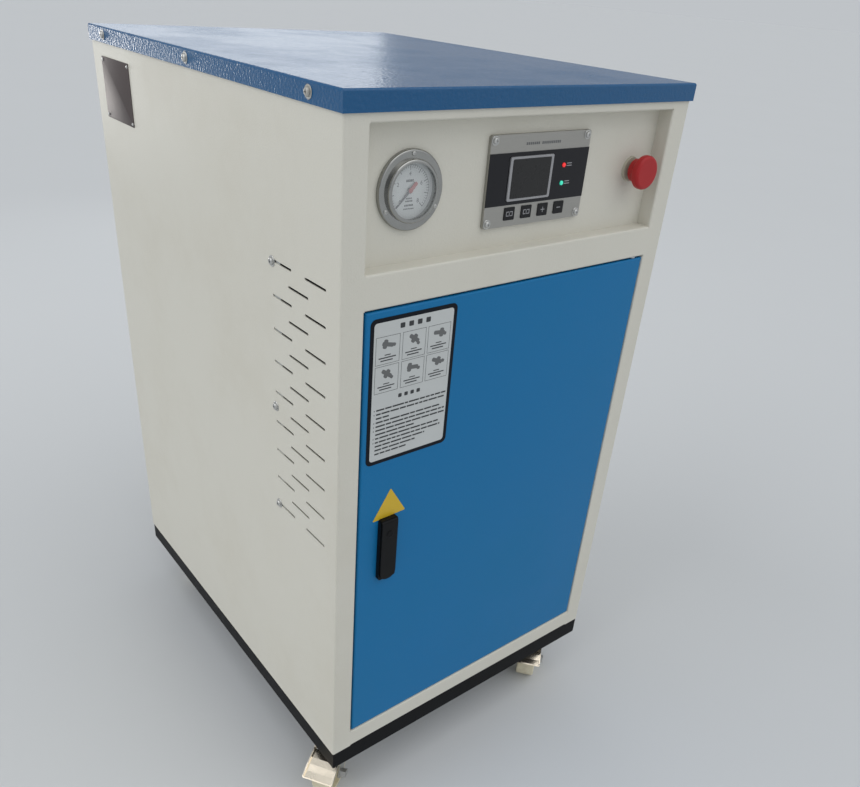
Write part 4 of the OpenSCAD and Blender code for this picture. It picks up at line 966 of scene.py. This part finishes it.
def controllerRule(place):
    # a row of small blocks at the head of the plate
    d = controllerFace
    top = boxOnPlate("controller_plate")[1][1]
    bm = bmesh.new()
    for i in range(d["titleBlocks"]):
        if i != d["titleGap"]:
            x = d["titleStart"] + (i + 0.5) * d["titlePitch"]
            addPlate(bm, place, d["titlePitch"] * d["titleShare"], d["titleTall"], d["print"], x=x,
                     y=top - d["titleDown"])
    finishPiece("controllerRule", bm, "labelGrey", "cabinet")


# the lamps' domed lenses: radius as a share of the lamp's, and height
lampLens = [(0, 0), (1, 0), (1, 0.0008), (0.8, 0.0014), (0.4, 0.0017), (0, 0.0018)]


def lampLenses():
    low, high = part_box("indicator_lamps")
    r = (high.x - low.x) / 2
    x = (low.x + high.x) / 2
    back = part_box("controller_strip")[0].y
    for name, z, finish in (("redLampLens", high.z - r, "redLamp"), ("greenLampLens", low.z + r, "greenLamp")):
        bm = bmesh.new()
        outline = [(r * share, up) for share, up in lampLens]
        addTurned(bm, Matrix.Translation((x, back, z)) @ faceFront, outline)
        lens = finishPiece(name, bm, finish, "cabinet", 40)
        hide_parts("indicator_lamps")


controllerPlace = platePlace()
screenPane(controllerPlace)
plateScrews(controllerPlace)
controllerMarks(controllerPlace)
controllerRule(controllerPlace)
lampLenses()
print("controller dressed")

lockCapShape = {
    "down": 0.020, "steps": 28,
    "outline": [(0, 0), (0.0048, 0), (0.0048, 0.0004), (0.0036, 0.0007), (0.0034, 0.0003), (0, 0.0003)],
}


def lockCap():
    # round cap over the lever's pivot
    low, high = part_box("door_lock_lever")
    place = Matrix.Translation(((low.x + high.x) / 2, low.y, high.z - lockCapShape["down"])) @ faceFront
    bm = bmesh.new()
    addTurned(bm, place, lockCapShape["outline"], lockCapShape["steps"])
    finishPiece("lockCap", bm, "nylon", "lock_lever", 30)


backScrewRows = {"x": (0.025, 0.475), "z": (0.045, 0.295, 0.545, 0.795)}


def backScrews():
    bm = bmesh.new()
    for x in backScrewRows["x"]:
        for z in backScrewRows["z"]:
            addScrew(bm, onBack(x, z), washer=True)
    finishPiece("backScrews", bm, "zinc", "cabinet", 35)


# red sleeves over the free ends of the two valve handles: which end of the node's box is free
handleSleeve = {
    "ends": {"steam_outlet": "low", "drain_valve": "high"}, "in": 0.0260, "behind": 0.044, "down": 0.0045,
    "long": 0.0550, "wide": 0.0172, "thick": 0.0060, "round": 0.0075, "edge": 0.0012,
}


def handleSleeves():
    d = handleSleeve
    for name, end in d["ends"].items():
        low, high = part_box(name)
        x = low.x + d["in"] if end == "low" else high.x - d["in"]
        place = Matrix.Translation((x, backY + d["behind"], high.z - d["down"]))
        bm = bmesh.new()
        addPlate(bm, place, d["long"], d["wide"], d["thick"], d["round"], edge=d["edge"])
        finishPiece(name + "Sleeve", bm, "red", "cabinet", 40)


# wire pockets of the switchgear: blocks in the row, their width and pitch, and the pocket's floor from the rail
wirePockets = {"contactors": (3, 0.045, 0.054, 0.034), "main_breaker": (1, 0.054, 0.0, 0.028)}
terminal = {"poles": (-1, 0, 1), "polesWide": 3, "in": 0.0035, "size": 0.7}


def terminalScrews():
    # a screw in the wire pocket of each pole, above and below the block's middle
    d = terminal
    for name, (blocks, width, pitch, deep) in wirePockets.items():
        low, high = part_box(name)
        middle = (low.z + high.z) / 2
        reach = (high.z - low.z) / 2 - d["in"]
        bm = bmesh.new()
        for block in range(blocks):
            centre = (low.x + high.x) / 2 + (block - (blocks - 1) / 2) * pitch
            for pole in d["poles"]:
                x = centre + pole * width / d["polesWide"]
                for end in (-1, 1):
                    spot = Matrix.Translation((x, high.y - deep, middle + end * reach))
                    addScrew(bm, spot @ faceFront, d["size"])
        finishPiece(name + "Terminals", bm, "zinc", "cabinet", 35)


lockCap()
backScrews()
handleSleeves()
terminalScrews()
print("fittings dressed")

# bolts up through the casters' plates: their places in from each outer corner, washer and hexagon head
casterBolt = {
    "across": (0.010, 0.055), "back": (0.010, 0.085), "plate": 0.0025, "washer": 0.0078, "washerThick": 0.0012,
    "head": 0.0065, "headTall": 0.0050, "headEdge": 0.12,
}


def casterBolts():
    d = casterBolt
    bm = bmesh.new()
    low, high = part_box("caster_plates")
    washer = [(0, 0), (d["washer"], 0), (d["washer"], d["washerThick"]), (0, d["washerThick"])]
    spots = [(x + sx * dx, y + sy * dy) for sx, x in ((1, low.x), (-1, high.x))
             for sy, y in ((1, low.y), (-1, high.y)) for dx in d["across"] for dy in d["back"]]
    for x, y in spots:
        place = Matrix.Translation((x, y, high.z - d["plate"])) @ Matrix.Rotation(math.pi, 4, "X")
        addTurned(bm, place, washer)
        addHexHead(bm, place @ Matrix.Translation((0, 0, d["washerThick"])), d["head"], d["headTall"])
    finishPiece("casterBolts", bm, "zinc", "cabinet", 35)


def addHexHead(bm, place, across, tall):
    verts = bmesh.ops.create_cone(bm, cap_ends=True, segments=6, radius1=across, radius2=across,
                                  depth=tall)["verts"]
    bmesh.ops.translate(bm, vec=(0, 0, tall / 2), verts=verts)
    top = {e for v in verts for e in v.link_edges if all(u.co.z > tall / 2 for u in e.verts)}
    verts = bevelEdges(bm, verts, list(top), across * casterBolt["headEdge"], meshing["rimSteps"])
    bmesh.ops.transform(bm, matrix=place, verts=verts)


casterBolts()
print("casters bolted")

# pale floor that runs into a backdrop of its own colour, and soft light from the left, above and behind
studio = {
    "floorColour": (0.60, 0.615, 0.62), "floorSize": 60, "floorTone": (1.2, 3), "floorDark": 0.985,
    "floorRough": 0.7, "floorToneRough": 0.1, "floorGloss": 0.15,
    "backdrop": (0.521, 0.546, 0.571), "sky": (0.80, 0.84, 0.90), "skyLight": 0.50,
    # name, where it shines from, strength, softness in degrees
    "suns": [("overhead", (0.3, -0.7, 2.0), 0.85, 70), ("leftWindow", (-2.2, 0.7, 1.3), 1.05, 60),
             ("frontFill", (0.8, -2.2, 1.2), 0.50, 80)],
    # name, place, what it faces, width, height, watts, colour, spread in degrees
    "windows": [("rearWindow", (1.15, 2.8, 1.55), (0, 0, 1.0), 1.5, 1.2, 5.0, (0.95, 0.98, 1.0), 180),
                ("yardDoor", (-0.62, 3.6, 0.70), (-0.2, 0.2, 0.9), 0.5, 0.9, 1.2, (1.0, 0.98, 0.95), 60)],
}


def addFloor():
    bm = bmesh.new()
    bmesh.ops.create_grid(bm, x_segments=1, y_segments=1, size=studio["floorSize"])
    mesh = bpy.data.meshes.new("floor")
    bm.to_mesh(mesh)
    bm.free()
    finish = Finish("floor")
    tone = finish.noise(*studio["floorTone"])
    pale = studio["floorColour"]
    finish.set("Base Color", finish.mix(tone, pale, toned(pale, studio["floorDark"])))
    finish.set("Roughness", studio["floorRough"] + tone * studio["floorToneRough"])
    finish.set("Specular IOR Level", studio["floorGloss"])
    mesh.materials.append(finish.material)
    newObject("floor", mesh)


def addWorld():
    # the sky lights the object, and the camera sees the plain backdrop
    world = bpy.data.worlds.new("studio")
    world.use_nodes = True
    tree = world.node_tree
    lit = tree.nodes["Background"]
    feedSocket(tree, lit.inputs["Color"], studio["sky"])
    feedSocket(tree, lit.inputs["Strength"], studio["skyLight"])
    sky = Signal(tree, lit.outputs[0])
    seen = addNode(tree, "Background", {}, {"Color": studio["backdrop"]}, 0)
    ray = addNode(tree, "LightPath", {}, {}, "Is Camera Ray")
    choice = addNode(tree, "MixShader", {}, {0: ray, 1: sky, 2: seen}, 0)
    feedSocket(tree, tree.nodes["World Output"].inputs["Surface"], choice)
    bpy.context.scene.world = world


def aimLight(light, place, target):
    light.location = place
    light.rotation_euler = (Vector(target) - Vector(place)).to_track_quat("-Z", "Y").to_euler()


def addSun(name, place, strength, softDegrees):
    data = bpy.data.lights.new(name, "SUN")
    data.energy = strength
    data.angle = math.radians(softDegrees)
    aimLight(newObject(name, data), place, (0, 0, 0))


def addWindow(name, place, target, wide, tall, watts, colour, spreadDegrees):
    data = bpy.data.lights.new(name, "AREA")
    data.shape = "RECTANGLE"
    data.size = wide
    data.size_y = tall
    data.energy = watts
    data.spread = math.radians(spreadDegrees)
    data.color = colour
    window = newObject(name, data)
    window.visible_camera = False
    aimLight(window, place, target)


addFloor()
addWorld()
for sun in studio["suns"]:
    addSun(*sun)
for window in studio["windows"]:
    addWindow(*window)
bpy.context.scene.view_settings.view_transform = "Standard"
print("studio lit")
